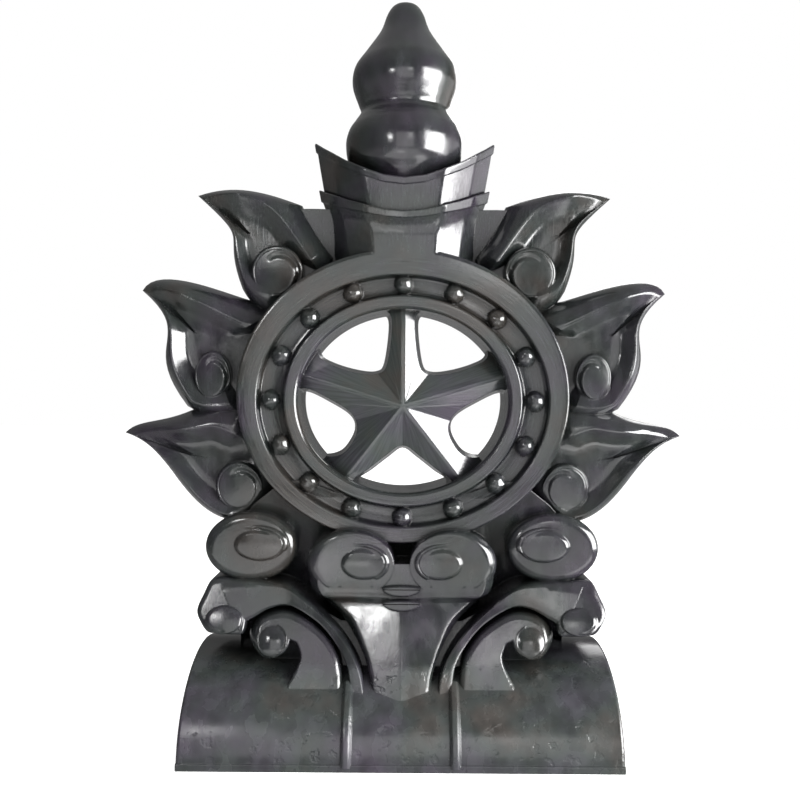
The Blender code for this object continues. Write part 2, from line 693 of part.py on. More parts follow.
def cup_ring(half_length, half_depth, middle_z, end_z):
    """One ring of the cup: its plan is faceted, and it climbs toward the pointed ends."""
    quarter = [(share * half_length, -depth * half_depth, share) for share, depth in CUP_PLAN]
    plan = quarter + [(-x, y, share) for x, y, share in reversed(quarter[:-1])]
    plan += [(x, -y, share) for x, y, share in reversed(plan[1:-1])]
    rise = end_z - middle_z
    return [(x, y, middle_z + rise * share ** CUP_RIM_POWER) for x, y, share in plan]


def make_cup():
    lower = loft("lower_tier", [cup_ring(*ring) for ring in LOWER_TIER])
    upper = loft("upper_tier", [cup_ring(*ring) for ring in UPPER_TIER])
    return [lower, upper]


def make_gourd():
    bm = bmesh.new()
    rows = []
    for z, radius in GOURD_PROFILE[:-1]:
        row = []
        for i in range(GOURD_SIDES):
            angle = 2.0 * math.pi * i / GOURD_SIDES
            row.append(bm.verts.new((radius * math.cos(angle), radius * math.sin(angle), z)))
        rows.append(row)
    top = bm.verts.new((0.0, 0.0, GOURD_PROFILE[-1][0]))
    for low, high in zip(rows, rows[1:]):
        for i in range(GOURD_SIDES):
            j = (i + 1) % GOURD_SIDES
            bm.faces.new((low[i], low[j], high[j], high[i]))
    for i in range(GOURD_SIDES):
        bm.faces.new((rows[-1][i], rows[-1][(i + 1) % GOURD_SIDES], top))
    bm.faces.new(rows[0])
    return make_object("gourd", bm)


def resin_material():
    material = bpy.data.materials.new("grey_resin")
    material.use_nodes = True
    shader = material.node_tree.nodes["Principled BSDF"]
    shader.inputs["Base Color"].default_value = RESIN_COLOUR
    shader.inputs["Roughness"].default_value = RESIN_ROUGHNESS
    shader.inputs["Metallic"].default_value = 0.0
    return material


def build_ornament():
    ornament = make_saddle()
    unite(ornament, make_ribs())
    unite(ornament, [make_web(), make_ledge(), make_bed(), make_neck()])
    for maker in (make_lobe, make_band_scroll, make_oval_scroll):
        right = maker()
        left = mirror_copy(right, right.name + "_left")
        unite(ornament, [right, left])
    unite(ornament, make_ears())
    unite(ornament, make_lenses())
    ring = unite(make_ring(), make_beads())
    unite(ring, [make_star()])
    for name, leaf in (("lower", LOWER_LEAF), ("middle", MIDDLE_LEAF), ("upper", UPPER_LEAF)):
        right = make_leaf(name, leaf)
        left = mirror_copy(right, name + "_left")
        unite(ring, [right, left])
    unite(ornament, [ring])
    unite(ornament, make_cup())
    unite(ornament, [make_gourd()])
    cut(ornament, [make_tunnel()])
    ornament.name = "ridge_ornament"
    ornament.data.name = "ridge_ornament"
    ornament.data.shade_smooth()
    ornament.data.set_sharp_from_angle(angle=SHARP_ANGLE)
    ornament.data.materials.clear()
    ornament.data.materials.append(resin_material())
    return ornament


clear_scene()
build_ornament()
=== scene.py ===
# %% [markdown]
# # A moulded roof ridge ornament
# The real object is one moulding in glossy dark grey resin: an arched saddle that rides on the
# ridge tile, a folded neck with scrolls, a beaded ring round a star, six flame leaves, a boat
# shaped cup in two tiers and a gourd finial. The frame brings its imported solid, which gives the
# place and the reach of every form here. We keep the solid's box, whose top sets the gourd's tip.
# All sizes are in metres, with X along the ridge, -Y toward the show side and Z up.

# %% Load the frame
import json
import math

import bmesh
import bpy
from mathutils import Matrix, Vector, noise

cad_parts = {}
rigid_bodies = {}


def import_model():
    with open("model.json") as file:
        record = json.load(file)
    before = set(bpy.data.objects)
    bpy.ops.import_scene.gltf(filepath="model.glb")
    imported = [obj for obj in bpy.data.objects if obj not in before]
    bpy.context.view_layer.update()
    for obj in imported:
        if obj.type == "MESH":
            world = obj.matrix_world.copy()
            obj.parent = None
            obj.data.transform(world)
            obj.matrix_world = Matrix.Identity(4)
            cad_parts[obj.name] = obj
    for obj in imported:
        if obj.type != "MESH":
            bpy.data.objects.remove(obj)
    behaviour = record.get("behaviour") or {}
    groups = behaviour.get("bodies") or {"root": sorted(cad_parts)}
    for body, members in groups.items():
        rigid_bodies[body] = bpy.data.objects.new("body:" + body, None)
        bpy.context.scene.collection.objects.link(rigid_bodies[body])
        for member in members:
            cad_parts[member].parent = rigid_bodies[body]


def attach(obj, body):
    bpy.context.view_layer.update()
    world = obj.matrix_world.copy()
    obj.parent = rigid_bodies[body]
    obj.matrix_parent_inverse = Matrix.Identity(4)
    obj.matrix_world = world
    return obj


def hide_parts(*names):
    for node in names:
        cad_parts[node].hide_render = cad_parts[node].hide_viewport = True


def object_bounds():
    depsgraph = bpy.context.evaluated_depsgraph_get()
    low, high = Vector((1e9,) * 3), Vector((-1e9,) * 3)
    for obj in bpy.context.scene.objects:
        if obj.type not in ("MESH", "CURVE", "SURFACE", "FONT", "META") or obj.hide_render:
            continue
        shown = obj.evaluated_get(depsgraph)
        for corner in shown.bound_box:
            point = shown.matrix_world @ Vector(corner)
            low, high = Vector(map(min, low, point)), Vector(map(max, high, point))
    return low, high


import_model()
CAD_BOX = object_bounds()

print("solid's box:", [[round(value, 4) for value in corner] for corner in CAD_BOX])

# %% [markdown]
# Three ways to get a moulded form suggest themselves: sculpting, subdivision modelling, or
# drawing a form out ring by ring, as a potter pulls up a wall. The last one holds real sizes
# best. We lay down a filled circle, move its corners to the first ring, and extrude its face
# from ring to ring. Where rings shrink to one point, the doubled corners are merged.

# %% Draw a form out, ring by ring
MERGE_BELOW = 1e-6


def put_down():
    """Leave edit mode and deselect everything, so that an operator touches only what we pick."""
    if bpy.context.object is not None and bpy.context.object.mode != "OBJECT":
        bpy.ops.object.mode_set(mode="OBJECT")
    bpy.ops.object.select_all(action="DESELECT")


def pick_up(form):
    put_down()
    form.select_set(True)
    bpy.context.view_layer.objects.active = form


def draw_out(name, rings):
    """A closed form through rings of (x, y, z) points, all with the same number of points."""
    put_down()
    bpy.ops.mesh.primitive_circle_add(vertices=len(rings[0]), fill_type="NGON")
    form = bpy.context.object
    form.name = name
    bpy.ops.object.mode_set(mode="EDIT")
    bpy.ops.mesh.select_all(action="SELECT")
    for count, ring in enumerate(rings):
        if count:
            bpy.ops.mesh.extrude_region_move()
        edit = bmesh.from_edit_mesh(form.data)
        cap = next(face for face in edit.faces if face.select)
        for corner, place in zip(cap.verts, ring):
            corner.co = place
    bpy.ops.mesh.select_all(action="SELECT")
    bpy.ops.mesh.remove_doubles(threshold=MERGE_BELOW)
    bpy.ops.mesh.normals_make_consistent(inside=False)
    bpy.ops.object.mode_set(mode="OBJECT")
    return form


def other_hand(form):
    """A copy of a form, with its own mesh, reflected to the other side of the ornament."""
    twin = form.copy()
    twin.data = form.data.copy()
    twin.name = form.name + "_left"
    bpy.context.scene.collection.objects.link(twin)
    twin.data.transform(Matrix.Scale(-1.0, 4, Vector((1.0, 0.0, 0.0))))
    twin.data.flip_normals()
    return twin


# %% Keep what is made
forms = []


def keep(made, paired=False):
    """Print each new form's size and keep it, with its twin where both sides have one."""
    bpy.context.view_layer.update()
    for form in made:
        size = [round(value * 1000, 1) for value in form.dimensions]
        print(form.name, size, "mm, on both sides" if paired else "mm")
        forms.append(form)
        if paired:
            forms.append(other_hand(form))


# %% Weld forms, or cut them away
def weld(base, others, operation):
    """Apply one Boolean modifier with a whole tray of other forms, which are then thrown away."""
    tray = bpy.data.collections.new("tray")
    bpy.context.scene.collection.children.link(tray)
    for other in others:
        for home in list(other.users_collection):
            home.objects.unlink(other)
        tray.objects.link(other)
    pick_up(base)
    modifier = base.modifiers.new("weld", "BOOLEAN")
    modifier.operation = operation
    modifier.solver = "MANIFOLD"
    modifier.operand_type = "COLLECTION"
    modifier.collection = tray
    bpy.ops.object.modifier_apply(modifier="weld")
    for other in list(tray.objects):
        bpy.data.objects.remove(other, do_unlink=True)
    bpy.data.collections.remove(tray)
    return base


# %% Curves to draw outlines with
def arc(start, first, second, end, steps):
    """Points along a curve with two handles, leaving out its last point."""
    points = []
    for i in range(steps):
        t = i / steps
        s = 1.0 - t
        weights = (s ** 3, 3 * s * s * t, 3 * s * t * t, t ** 3)
        corners = (start, first, second, end)
        points.append(tuple(sum(w * corner[k] for w, corner in zip(weights, corners)) for k in (0, 1)))
    return points


def flow(knots, steps, closed=False):
    """A smooth curve through points of any number of coordinates."""
    count = len(knots)
    spans = count if closed else count - 1
    points = []
    for i in range(spans):
        if closed:
            before, start, end, after = (knots[(i + k) % count] for k in (-1, 0, 1, 2))
        else:
            before, start, end, after = (knots[min(max(i + k, 0), count - 1)] for k in (-1, 0, 1, 2))
        for j in range(steps):
            t = j / steps
            points.append(tuple(
                0.5 * (2 * b + (c - a) * t + (2 * a - 5 * b + 4 * c - d) * t * t
                       + (3 * b - a - 3 * c + d) * t ** 3)
                for a, b, c, d in zip(before, start, end, after)))
    if not closed:
        points.append(tuple(knots[-1]))
    return points


def oval(centre_x, centre_z, half_x, half_z, count):
    """Points round an oval, anticlockwise from its right end."""
    turn = 2.0 * math.pi / count
    return [(centre_x + half_x * math.cos(turn * i), centre_z + half_z * math.sin(turn * i))
            for i in range(count)]


def part_way(a, b, share):
    """The (x, z) place that lies a share of the way from a to b."""
    return tuple(a[k] + (b[k] - a[k]) * share for k in (0, 1))


def ease(low, high, value):
    """0 at low, 1 at high, and a smooth step between."""
    t = min(1.0, max(0.0, (value - low) / (high - low)))
    return t * t * (3.0 - 2.0 * t)


# %% Step an outline in
MITRE_LIMIT = 0.45


def step_in(outline, distance):
    """Move a closed outline inward. The distance is one number, or one for each point."""
    area = sum(a[0] * b[1] - b[0] * a[1] for a, b in zip(outline, outline[1:] + outline[:1]))
    side = 1.0 if area > 0 else -1.0
    amounts = distance if isinstance(distance, list) else [distance] * len(outline)
    result = []
    for i, point in enumerate(outline):
        here = Vector(point)
        into = (here - Vector(outline[i - 1])).normalized()
        away = (Vector(outline[(i + 1) % len(outline)]) - here).normalized()
        normal = Vector((-(into + away).y, (into + away).x)).normalized() * side
        stretch = 1.0 / max(MITRE_LIMIT, normal.dot(Vector((-into.y, into.x)) * side))
        moved = here + normal * amounts[i] * stretch
        result.append((moved.x, moved.y))
    return result


# %% [markdown]
# ## The saddle
# On the real piece the saddle is an arch with a 6 mm wall, open below and at both ends, with
# softly rounded end edges and a thin lip along its foot. We draw the half round out along X
# and cut the tunnel out of the finished moulding at the very end, so that nothing hangs in it.

# %% Saddle
SADDLE_LENGTH = 0.328
SADDLE_DEPTH = 0.184
SADDLE_HEIGHT = 0.071
SADDLE_WALL = 0.006
SADDLE_STEPS = 72
SADDLE_END_RADIUS = 0.0030
SADDLE_END_TURNS = [math.radians(angle) for angle in (0, 22, 45, 68, 90)]
LIP_SECTION = [(0.0880, 0.0), (0.0928, 0.0), (0.0930, 0.0040), (0.0926, 0.0050), (0.0919, 0.0055),
               (0.0880, 0.0055)]
LIP_SHORTER = 0.0004


def arch(half_depth, height, steps):
    """Half an ellipse from its back foot over to its front foot, as (y, z) points."""
    turn = math.pi / steps
    return [(half_depth * math.cos(turn * i), height * math.sin(turn * i)) for i in range(steps + 1)]


def make_lips():
    """A thin lip along each foot."""
    reach = SADDLE_LENGTH / 2 - LIP_SHORTER
    return [draw_out("lip", [[(x, side * y, z) for y, z in LIP_SECTION] for x in (-reach, reach)])
            for side in (-1.0, 1.0)]


def make_saddle():
    """The half round, with a quarter round along the edge of each end."""
    rings = []
    for side in (-1.0, 1.0):
        for turn in SADDLE_END_TURNS:
            x = side * (SADDLE_LENGTH / 2 - SADDLE_END_RADIUS * (1.0 - math.sin(turn)))
            rings.append((x, SADDLE_END_RADIUS * (1.0 - math.cos(turn))))
    rings.sort()
    return draw_out("saddle", [
        [(x, y, z) for y, z in arch(SADDLE_DEPTH / 2 - shrink, SADDLE_HEIGHT - shrink, SADDLE_STEPS)]
        for x, shrink in rings])


keep([make_saddle()] + make_lips())

# %% [markdown]
# ## Ribs
# Two thin ribs run down the saddle, one on each side of the neck's foot. A rib could be a bent
# box, but its rounded section has to stay square to the arch, so we draw that section out along
# the arch's own curve. The back has the same pair.

# %% Ribs
RIB_X = 0.0400
RIB_TURNS = (math.radians(2.5), math.radians(50.0))
RIB_STEPS = 14
RIB_HALF_WIDTH = 0.0042
RIB_HEIGHT = 0.0029
RIB_SECTION = [(-1.0, -1.0), (-1.0, -0.1), (-0.82, 0.42), (-0.45, 0.88), (0.0, 1.0),
               (0.45, 0.88), (0.82, 0.42), (1.0, -0.1), (1.0, -1.0)]


def make_rib(side):
    """One rib on the right: side is -1 for the show side and 1 for the back."""
    half_depth = SADDLE_DEPTH / 2
    rings = []
    for i in range(RIB_STEPS + 1):
        angle = RIB_TURNS[0] + (RIB_TURNS[1] - RIB_TURNS[0]) * i / RIB_STEPS
        along = Vector((side * half_depth * math.cos(angle), SADDLE_HEIGHT * math.sin(angle)))
        out = Vector((side * math.cos(angle) / half_depth, math.sin(angle) / SADDLE_HEIGHT)).normalized()
        ring = []
        for across, lift in RIB_SECTION:
            place = along + out * RIB_HEIGHT * lift
            ring.append((RIB_X + across * RIB_HALF_WIDTH, place.x, place.y))
        rings.append(ring)
    return draw_out("rib", rings)


keep([make_rib(-1.0), make_rib(1.0)], paired=True)

# %% [markdown]
# ## The plain walls
# A web stands behind all the scrollwork and leans forward toward the ring, so that its face
# stays in shade. A low web carries it down to the saddle, and a sloping bed closes the grooves
# between neck, bands and lobes. They show only in the gaps, so they are plain plates. Every
# plate here is drawn from its outline: stepped in for the back, full size in the middle, and
# then inward over its worked front.

# %% Faces that plates follow
SLOPE_TOP_Y = 0.0390
SLOPE_TOP_Z = 0.1250
SLOPE_RISE = 0.36
BACK_DROP = 0.0040
BACK_INSET = 0.0015


def flat(reach):
    """A face at one depth: gives y for a place on it, raised by some relief."""
    return lambda x, z, rise: -(reach + rise)


def sloping(x, z, rise):
    """The face of the lower scrolls, which comes forward toward the saddle."""
    return -(SLOPE_TOP_Y + SLOPE_RISE * (SLOPE_TOP_Z - z) + rise)


def leaning(foot_y, foot_z, lean):
    """A face that comes forward as it rises, and so stays in shade."""
    return lambda x, z, rise: -(foot_y + lean * (z - foot_z) + rise)


def raise_plate(name, outline, face, steps, back_y=None):
    """A plate with a worked front. Each step is (how far in from the outline, rise)."""
    rings = [[(x, -face(x, z, -BACK_DROP) if back_y is None else back_y, z)
              for x, z in step_in(outline, BACK_INSET)],
             [(x, 0.0, z) for x, z in outline]]
    for inset_by, rise in steps:
        rings.append([(x, face(x, z, rise), z) for x, z in step_in(outline, inset_by)])
    return draw_out(name, rings)


def both_sides(half):
    """A whole outline from its right half."""
    return half + [(-x, z) for x, z in reversed(half)]


# %% Webs and bed
WEB_FACE = leaning(foot_y=0.0120, foot_z=0.1500, lean=0.28)
WEB_BACK_Y = 0.021
WEB_HALF = flow([(0.132, 0.096), (0.143, 0.128), (0.131, 0.172), (0.090, 0.205), (0.055, 0.196),
                 (0.020, 0.188)], 3)
LOW_WEB_HALF = [(0.1300, 0.0300), (0.1345, 0.0900), (0.1300, 0.1080)]
BED_HALF = [(0.0560, 0.0400), (0.0660, 0.0720), (0.0880, 0.0880), (0.1100, 0.1080), (0.0860, 0.1110),
            (0.0640, 0.1030), (0.0480, 0.0950)]
BED_SINK = 0.0180

keep([raise_plate("web", both_sides(WEB_HALF), WEB_FACE, [(0.0, 0.0)], WEB_BACK_Y),
      raise_plate("low_web", both_sides(LOW_WEB_HALF), WEB_FACE, [(0.0, 0.0)], WEB_BACK_Y),
      raise_plate("bed", both_sides(BED_HALF), sloping, [(0.0, -BED_SINK)])])

# %% [markdown]
# ## The neck
# The neck is a panel with one fold down its middle: flat under the ring, it folds more and more
# sharply as it comes forward to the saddle, and a bevelled strip runs down each edge. Its
# section changes all the way down, so a sweep of one section won't do, and we draw it out
# upward through many sections.

# %% Neck
# Each place on the edge is (height, half width, width of the bevelled strip).
NECK_EDGE = [(0.0450, 0.0222, 0.0026), (0.0593, 0.0238, 0.0027), (0.0728, 0.0286, 0.0032),
             (0.0793, 0.0320, 0.0038), (0.0860, 0.0361, 0.0048), (0.0930, 0.0412, 0.0064),
             (0.0999, 0.0480, 0.0080), (0.1069, 0.0567, 0.0084), (0.1143, 0.0652, 0.0072),
             (0.1200, 0.0698, 0.0066), (0.1270, 0.0722, 0.0070), (0.1350, 0.0728, 0.0078),
             (0.1420, 0.0730, 0.0084)]
NECK_SHARES = (0.0, 0.012, 0.025, 0.05, 0.10, 0.2, 0.4, 0.6, 0.8, 0.93)
NECK_STRIP_STEEPNESS = 1.25
NECK_ARRIS = 0.0006
NECK_ARRIS_FALL = 0.0004
NECK_RIM = 0.0005
FOLD_TOP_Y = 0.0436
FOLD_TOP_Z = 0.1170
FOLD_RISE = 0.388
FOLD_FALL = 0.20
FOLD_GROWTH = 0.007
FOLD_ROUND = 0.0008
BEND_SOFTNESS = 0.0012


def fold_y(z):
    """Upright above, sloping forward below, with a soft bend between."""
    bend = math.log1p(math.exp((FOLD_TOP_Z - z) / BEND_SOFTNESS))
    return FOLD_TOP_Y + FOLD_RISE * BEND_SOFTNESS * bend


def make_neck():
    rings = []
    for z, half_width, strip in flow(NECK_EDGE, 4):
        fall = FOLD_FALL * ease(FOLD_TOP_Z, FOLD_TOP_Z - FOLD_GROWTH, z)
        drop = NECK_STRIP_STEEPNESS * strip
        inner = half_width - strip
        half = []
        for share in NECK_SHARES:
            x = inner * share
            rounded = math.sqrt(x * x + FOLD_ROUND ** 2) - FOLD_ROUND
            half.append((x, fold_y(z) - fall * rounded))
        edge_y = fold_y(z) - fall * (inner - FOLD_ROUND)
        half += [(inner - NECK_ARRIS, edge_y), (inner + NECK_ARRIS, edge_y - NECK_ARRIS_FALL),
                 (half_width - NECK_RIM, edge_y - drop + NECK_ARRIS), (half_width, edge_y - drop)]
        back = [(x, y - BACK_DROP) for x, y in reversed(half)]
        right = [(x, -y, z) for x, y in half] + [(x, y, z) for x, y in back]
        rings.append(right + [(-x, y, z) for x, y, z in reversed(right[1:-1])])
    return draw_out("neck", rings)


keep([make_neck()])

# %% [markdown]
# ## Lens bars
# Two small bars lie across the fold, one above the other, each nearly straight above and full
# below, with round ends. They are plates with a lens for an outline and a crisp rounded rim.

# %% Lens bars
LENS_HEIGHTS = (0.1108, 0.1215)
LENS_HALF_WIDTH = 0.0155
LENS_WIDEST = 0.0020
LENS_ABOVE = 0.0022
LENS_BELOW = 0.0066
LENS_RISE = 0.0048
LENS_POINTS = 40
LENS_BACK_Y = -0.030
LENS_STEPS = [(0.0, -0.0035), (0.0003, -0.0012), (0.0010, -0.0003), (0.0018, 0.0)]


def lens_outline(z):
    points = []
    for i in range(LENS_POINTS):
        angle = 2.0 * math.pi * i / LENS_POINTS
        up = math.sin(angle)
        height = (LENS_ABOVE if up > 0 else LENS_BELOW) * up
        points.append((LENS_HALF_WIDTH * math.cos(angle), z + LENS_WIDEST + height))
    return points


keep([raise_plate("lens", lens_outline(z), flat(fold_y(z) + LENS_RISE), LENS_STEPS, LENS_BACK_Y)
      for z in LENS_HEIGHTS])

# %% [markdown]
# ## Scroll eyes
# Every scroll ends in an eye that a carver cuts with one sweep: a groove enters over the rim,
# winds inward and fades out, so that the strap seems to roll up. A spiral cutter could carve it,
# but would leave hard edges. We build each eye as a stack of ovals from its rim to its middle,
# domed a little, lower the points that the groove crosses, and score a fine line near the rim.

# %% Scroll eyes
# Stops are shares of the eye's half size, 1 at the rim and 0 in the middle.
EYE_STOPS = (1.0, 0.985, 0.96, 0.93, 0.90, 0.87, 0.84, 0.81, 0.78, 0.745, 0.71, 0.67, 0.63, 0.59,
             0.55, 0.51, 0.47, 0.43, 0.39, 0.35, 0.31, 0.26, 0.21, 0.16, 0.11, 0.06)
OVAL_POINTS = 64
EYE_EDGE = 0.11
EYE_FOOT = 0.15
EYE_BURIED = 0.006
LINE_STOP = 0.84
LINE_HALF_WIDTH = 0.03
LINE_DEPTH = 0.0005


def groove_depth(stop, angle, groove):
    """Depth of a winding groove at a place. Where it passes twice, the deeper pass counts."""
    sweep = math.radians(groove["sweep"])
    turn = ((angle - math.radians(groove["start"])) * groove["hand"]) % (2.0 * math.pi)
    deepest = 0.0
    while turn < sweep:
        share = turn / sweep
        middle = groove["stops"][0] + (groove["stops"][1] - groove["stops"][0]) * share
        width = groove["widths"][0] + (groove["widths"][1] - groove["widths"][0]) * share
        off = abs(stop - middle) / width
        if off < 1.0:
            across = 0.5 + 0.5 * math.cos(math.pi * off)
            deepest = max(deepest, groove["depth"] * (1.0 - share ** 2) * across)
        turn += 2.0 * math.pi
    return deepest


def make_scroll_eye(name, spot, face, rise, groove, dome=0.0008, line_depth=LINE_DEPTH):
    """An eye on a face: spot is its centre and half sizes, rise the height of its rim."""
    x, z, half_x, half_z = spot
    rings = [[(px, face(px, pz, -EYE_BURIED), pz) for px, pz in oval(x, z, half_x, half_z, OVAL_POINTS)]]
    for stop in EYE_STOPS:
        edge = 1.0 - (1.0 - min(1.0, (1.0 - stop) / EYE_EDGE)) ** 2
        line = line_depth * (1.0 - min(1.0, abs(stop - LINE_STOP) / LINE_HALF_WIDTH))
        ring = []
        for i, (px, pz) in enumerate(oval(x, z, half_x * stop, half_z * stop, OVAL_POINTS)):
            angle = 2.0 * math.pi * i / OVAL_POINTS
            height = rise * (EYE_FOOT + (1.0 - EYE_FOOT) * edge) + dome * (1.0 - stop ** 2) - line
            ring.append((px, face(px, pz, height - groove_depth(stop, angle, groove)), pz))
        rings.append(ring)
    return draw_out(name, rings)


# %% [markdown]
# ## Ears
# The two ears are oval shoulders at the top of the neck. Each slopes up from its rim to a flat
# crown, broadly on its outer side, where the slope runs on into the neck's strip, and carries a
# large domed eye. The slope is shared out between the ear's own oval and the crown's.

# %% Ears
# Ovals are (middle x, middle z, half width, half height), and grooves are in degrees and stops.
EAR = (0.0400, 0.1415, 0.0345, 0.0268)
EAR_CROWN = (0.0362, 0.1410, 0.0298, 0.0240)
EAR_FACE_Y = 0.0440
EAR_BACK_INSET = 0.0025
EAR_SINK_Z = 0.1240
EAR_SINK = 0.35
EAR_SLOPE = [(0.0, -0.0060), (0.10, -0.0046), (0.20, -0.0035), (0.32, -0.0024), (0.42, -0.0017),
             (0.52, -0.0011), (0.66, -0.0006), (0.82, -0.0002), (1.0, 0.0)]
EAR_CROWN_STEPS = (0.0020, 0.0060, 0.0110, 0.0170)
EAR_EYE = (0.0310, 0.1425, 0.0212, 0.0152)
EAR_EYE_RISE = 0.0014
BIG_EYE_DOME = 0.0012
EAR_GROOVE = dict(start=-120, sweep=270, hand=1, stops=(1.10, 0.70), widths=(0.36, 0.22), depth=0.0044)


def ear_face(x, z, rise):
    """Upright above, and below it sinks back so that the neck's face takes over."""
    return -(EAR_FACE_Y - EAR_SINK * max(0.0, EAR_SINK_Z - z) + rise)


def make_ear():
    outline = oval(*EAR, OVAL_POINTS)
    crown = oval(*EAR_CROWN, OVAL_POINTS)
    rings = [[(x, EAR_FACE_Y - BACK_DROP, z) for x, z in step_in(outline, EAR_BACK_INSET)],
             [(x, 0.0, z) for x, z in outline]]
    for share, rise in EAR_SLOPE:
        ring = [part_way(a, b, share) for a, b in zip(outline, crown)]
        rings.append([(x, ear_face(x, z, rise), z) for x, z in ring])
    for inset_by in EAR_CROWN_STEPS:
        rings.append([(x, ear_face(x, z, 0.0), z) for x, z in step_in(crown, inset_by)])
    return draw_out("ear", rings)


ear_eye = make_scroll_eye("ear_eye", EAR_EYE, flat(EAR_FACE_Y), EAR_EYE_RISE, EAR_GROOVE, BIG_EYE_DOME)
keep([make_ear(), ear_eye], paired=True)

# %% [markdown]
# ## Oval scrolls
# Beside the ring's foot lies an oval scroll on each side: a flat disc with a rounded rim, and a
# long eye set toward the middle of the ornament. The disc is a plate whose rim rises in steps.

# %% Oval scrolls
OVAL = (0.1202, 0.1525, 0.0362, 0.0275)
OVAL_FACE_Y = 0.0350
OVAL_STEPS = [(0.0, -0.0060), (0.0007, -0.0036), (0.0022, -0.0018), (0.0046, -0.0006), (0.0080, 0.0)]
OVAL_EYE = (0.1138, 0.1552, 0.0236, 0.0150)
OVAL_EYE_RISE = 0.0016
OVAL_GROOVE = dict(start=200, sweep=300, hand=1, stops=(1.15, 0.72), widths=(0.34, 0.20), depth=0.0048)

oval_face = flat(OVAL_FACE_Y)
keep([raise_plate("oval_scroll", oval(*OVAL, OVAL_POINTS), oval_face, OVAL_STEPS),
      make_scroll_eye("oval_eye", OVAL_EYE, oval_face, OVAL_EYE_RISE, OVAL_GROOVE, BIG_EYE_DOME)],
     paired=True)

# %% [markdown]
# ## Bands and curls
# From the saddle a band climbs beside the neck, spreads over the lobe and rolls into a curl at
# the outside. Its front is nearly flat, with a soft crest near the outer edge and rounded rims.
# Its width changes along its path, so we don't sweep one section along a curve: we draw its two
# edges and share the section out between them.

# %% Bands and curls
BAND_OUTER = [(0.0265, 0.0420), (0.0289, 0.0576), (0.0344, 0.0713), (0.0439, 0.0851), (0.0575, 0.0992),
              (0.0752, 0.1135), (0.0900, 0.1235), (0.1060, 0.1270), (0.1250, 0.1285), (0.1440, 0.1270)]
BAND_INNER = [(0.0375, 0.0400), (0.0398, 0.0560), (0.0425, 0.0680), (0.0500, 0.0805), (0.0625, 0.0943),
              (0.0790, 0.1047), (0.0915, 0.1085), (0.1045, 0.1052), (0.1150, 0.0990), (0.1260, 0.0930)]
BAND_STEPS = 5
BAND_SECTION = [(0.0, -0.0060), (0.03, -0.0022), (0.09, -0.0004), (0.16, 0.0006), (0.28, 0.0004), (0.50, 0.0),
                (0.72, -0.0004), (0.88, -0.0010), (0.96, -0.0026), (1.0, -0.0068)]
CURL = [(0.1500, 0.0890), (0.1410, 0.0880), (0.1294, 0.0874), (0.1215, 0.0900), (0.1200, 0.1120),
        (0.1230, 0.1240), (0.1340, 0.1282), (0.1490, 0.1282), (0.1560, 0.1160), (0.1600, 0.1045),
        (0.1560, 0.0955)]
CURL_STEPS = [(0.0, -0.0050), (0.0005, -0.0030), (0.0014, -0.0016), (0.0028, -0.0008), (0.0050, -0.0004)]
CURL_EYE = (0.1385, 0.0992, 0.0153, 0.0106)
CURL_EYE_RISE = 0.0012
CURL_EYE_DOME = 0.0010
CURL_GROOVE = dict(start=200, sweep=300, hand=-1, stops=(1.25, 0.80), widths=(0.40, 0.22), depth=0.0032)
NO_LINE = 0.0


def make_band():
    rings = []
    for outer, inner in zip(flow(BAND_OUTER, BAND_STEPS), flow(BAND_INNER, BAND_STEPS)):
        front = []
        for share, rise in BAND_SECTION:
            x, z = part_way(outer, inner, share)
            front.append((x, sloping(x, z, rise), z))
        back = [(x, -sloping(x, z, -BACK_DROP), z) for x, y, z in (front[-1], front[0])]
        rings.append(front + back)
    return draw_out("band", rings)


curl_outline = flow(CURL, BAND_STEPS, closed=True)
keep([make_band(),
      raise_plate("curl", curl_outline, sloping, CURL_STEPS),
      make_scroll_eye("curl_eye", CURL_EYE, sloping, CURL_EYE_RISE, CURL_GROOVE, CURL_EYE_DOME, NO_LINE)],
     paired=True)

# %% [markdown]
# ## Lobes
# Inside each band a comma shaped lobe stands on the saddle. A bevelled strip runs along its
# outer curve, its head rolls over into a ball, and behind the ball the face falls away into a
# deep hollow. The face, the backing of the hollow and the ball are drawn out one by one, because
# each lies at its own depth.

# %% Lobes
LOBE_ROLL = [(0.0425, 0.0300), (0.0457, 0.0631), (0.0514, 0.0784), (0.0642, 0.0924), (0.0879, 0.1044),
             (0.1111, 0.1007), (0.1194, 0.0869), (0.1150, 0.0750), (0.1074, 0.0680)]
LOBE_THROAT = [(0.0978, 0.0712), (0.0903, 0.0750), (0.0868, 0.0797), (0.0854, 0.0838)]
LOBE_TOE = [(0.0815, 0.0822), (0.0785, 0.0760), (0.0780, 0.0713), (0.0800, 0.0644), (0.0835, 0.0576),
            (0.0870, 0.0509), (0.0920, 0.0300)]
LOBE_BACKING = [(0.0740, 0.0400), (0.0740, 0.0800), (0.0850, 0.0890), (0.0980, 0.0890), (0.1060, 0.0800),
                (0.1080, 0.0700), (0.1120, 0.0400)]
LOBE_STRIP = 0.0042
LOBE_CHEEK_STRIP = 0.0080
LOBE_DROP = 0.0034
LOBE_CHEEK_DROP = 0.0110
LOBE_INNER_STRIP = 0.0018
LOBE_RECESS = 0.0015
LOBE_BACK_INSET = 0.0020
# The strip widens to the cheek between these two points of the roll.
CHEEK_FROM = 20
CHEEK_TO = 30
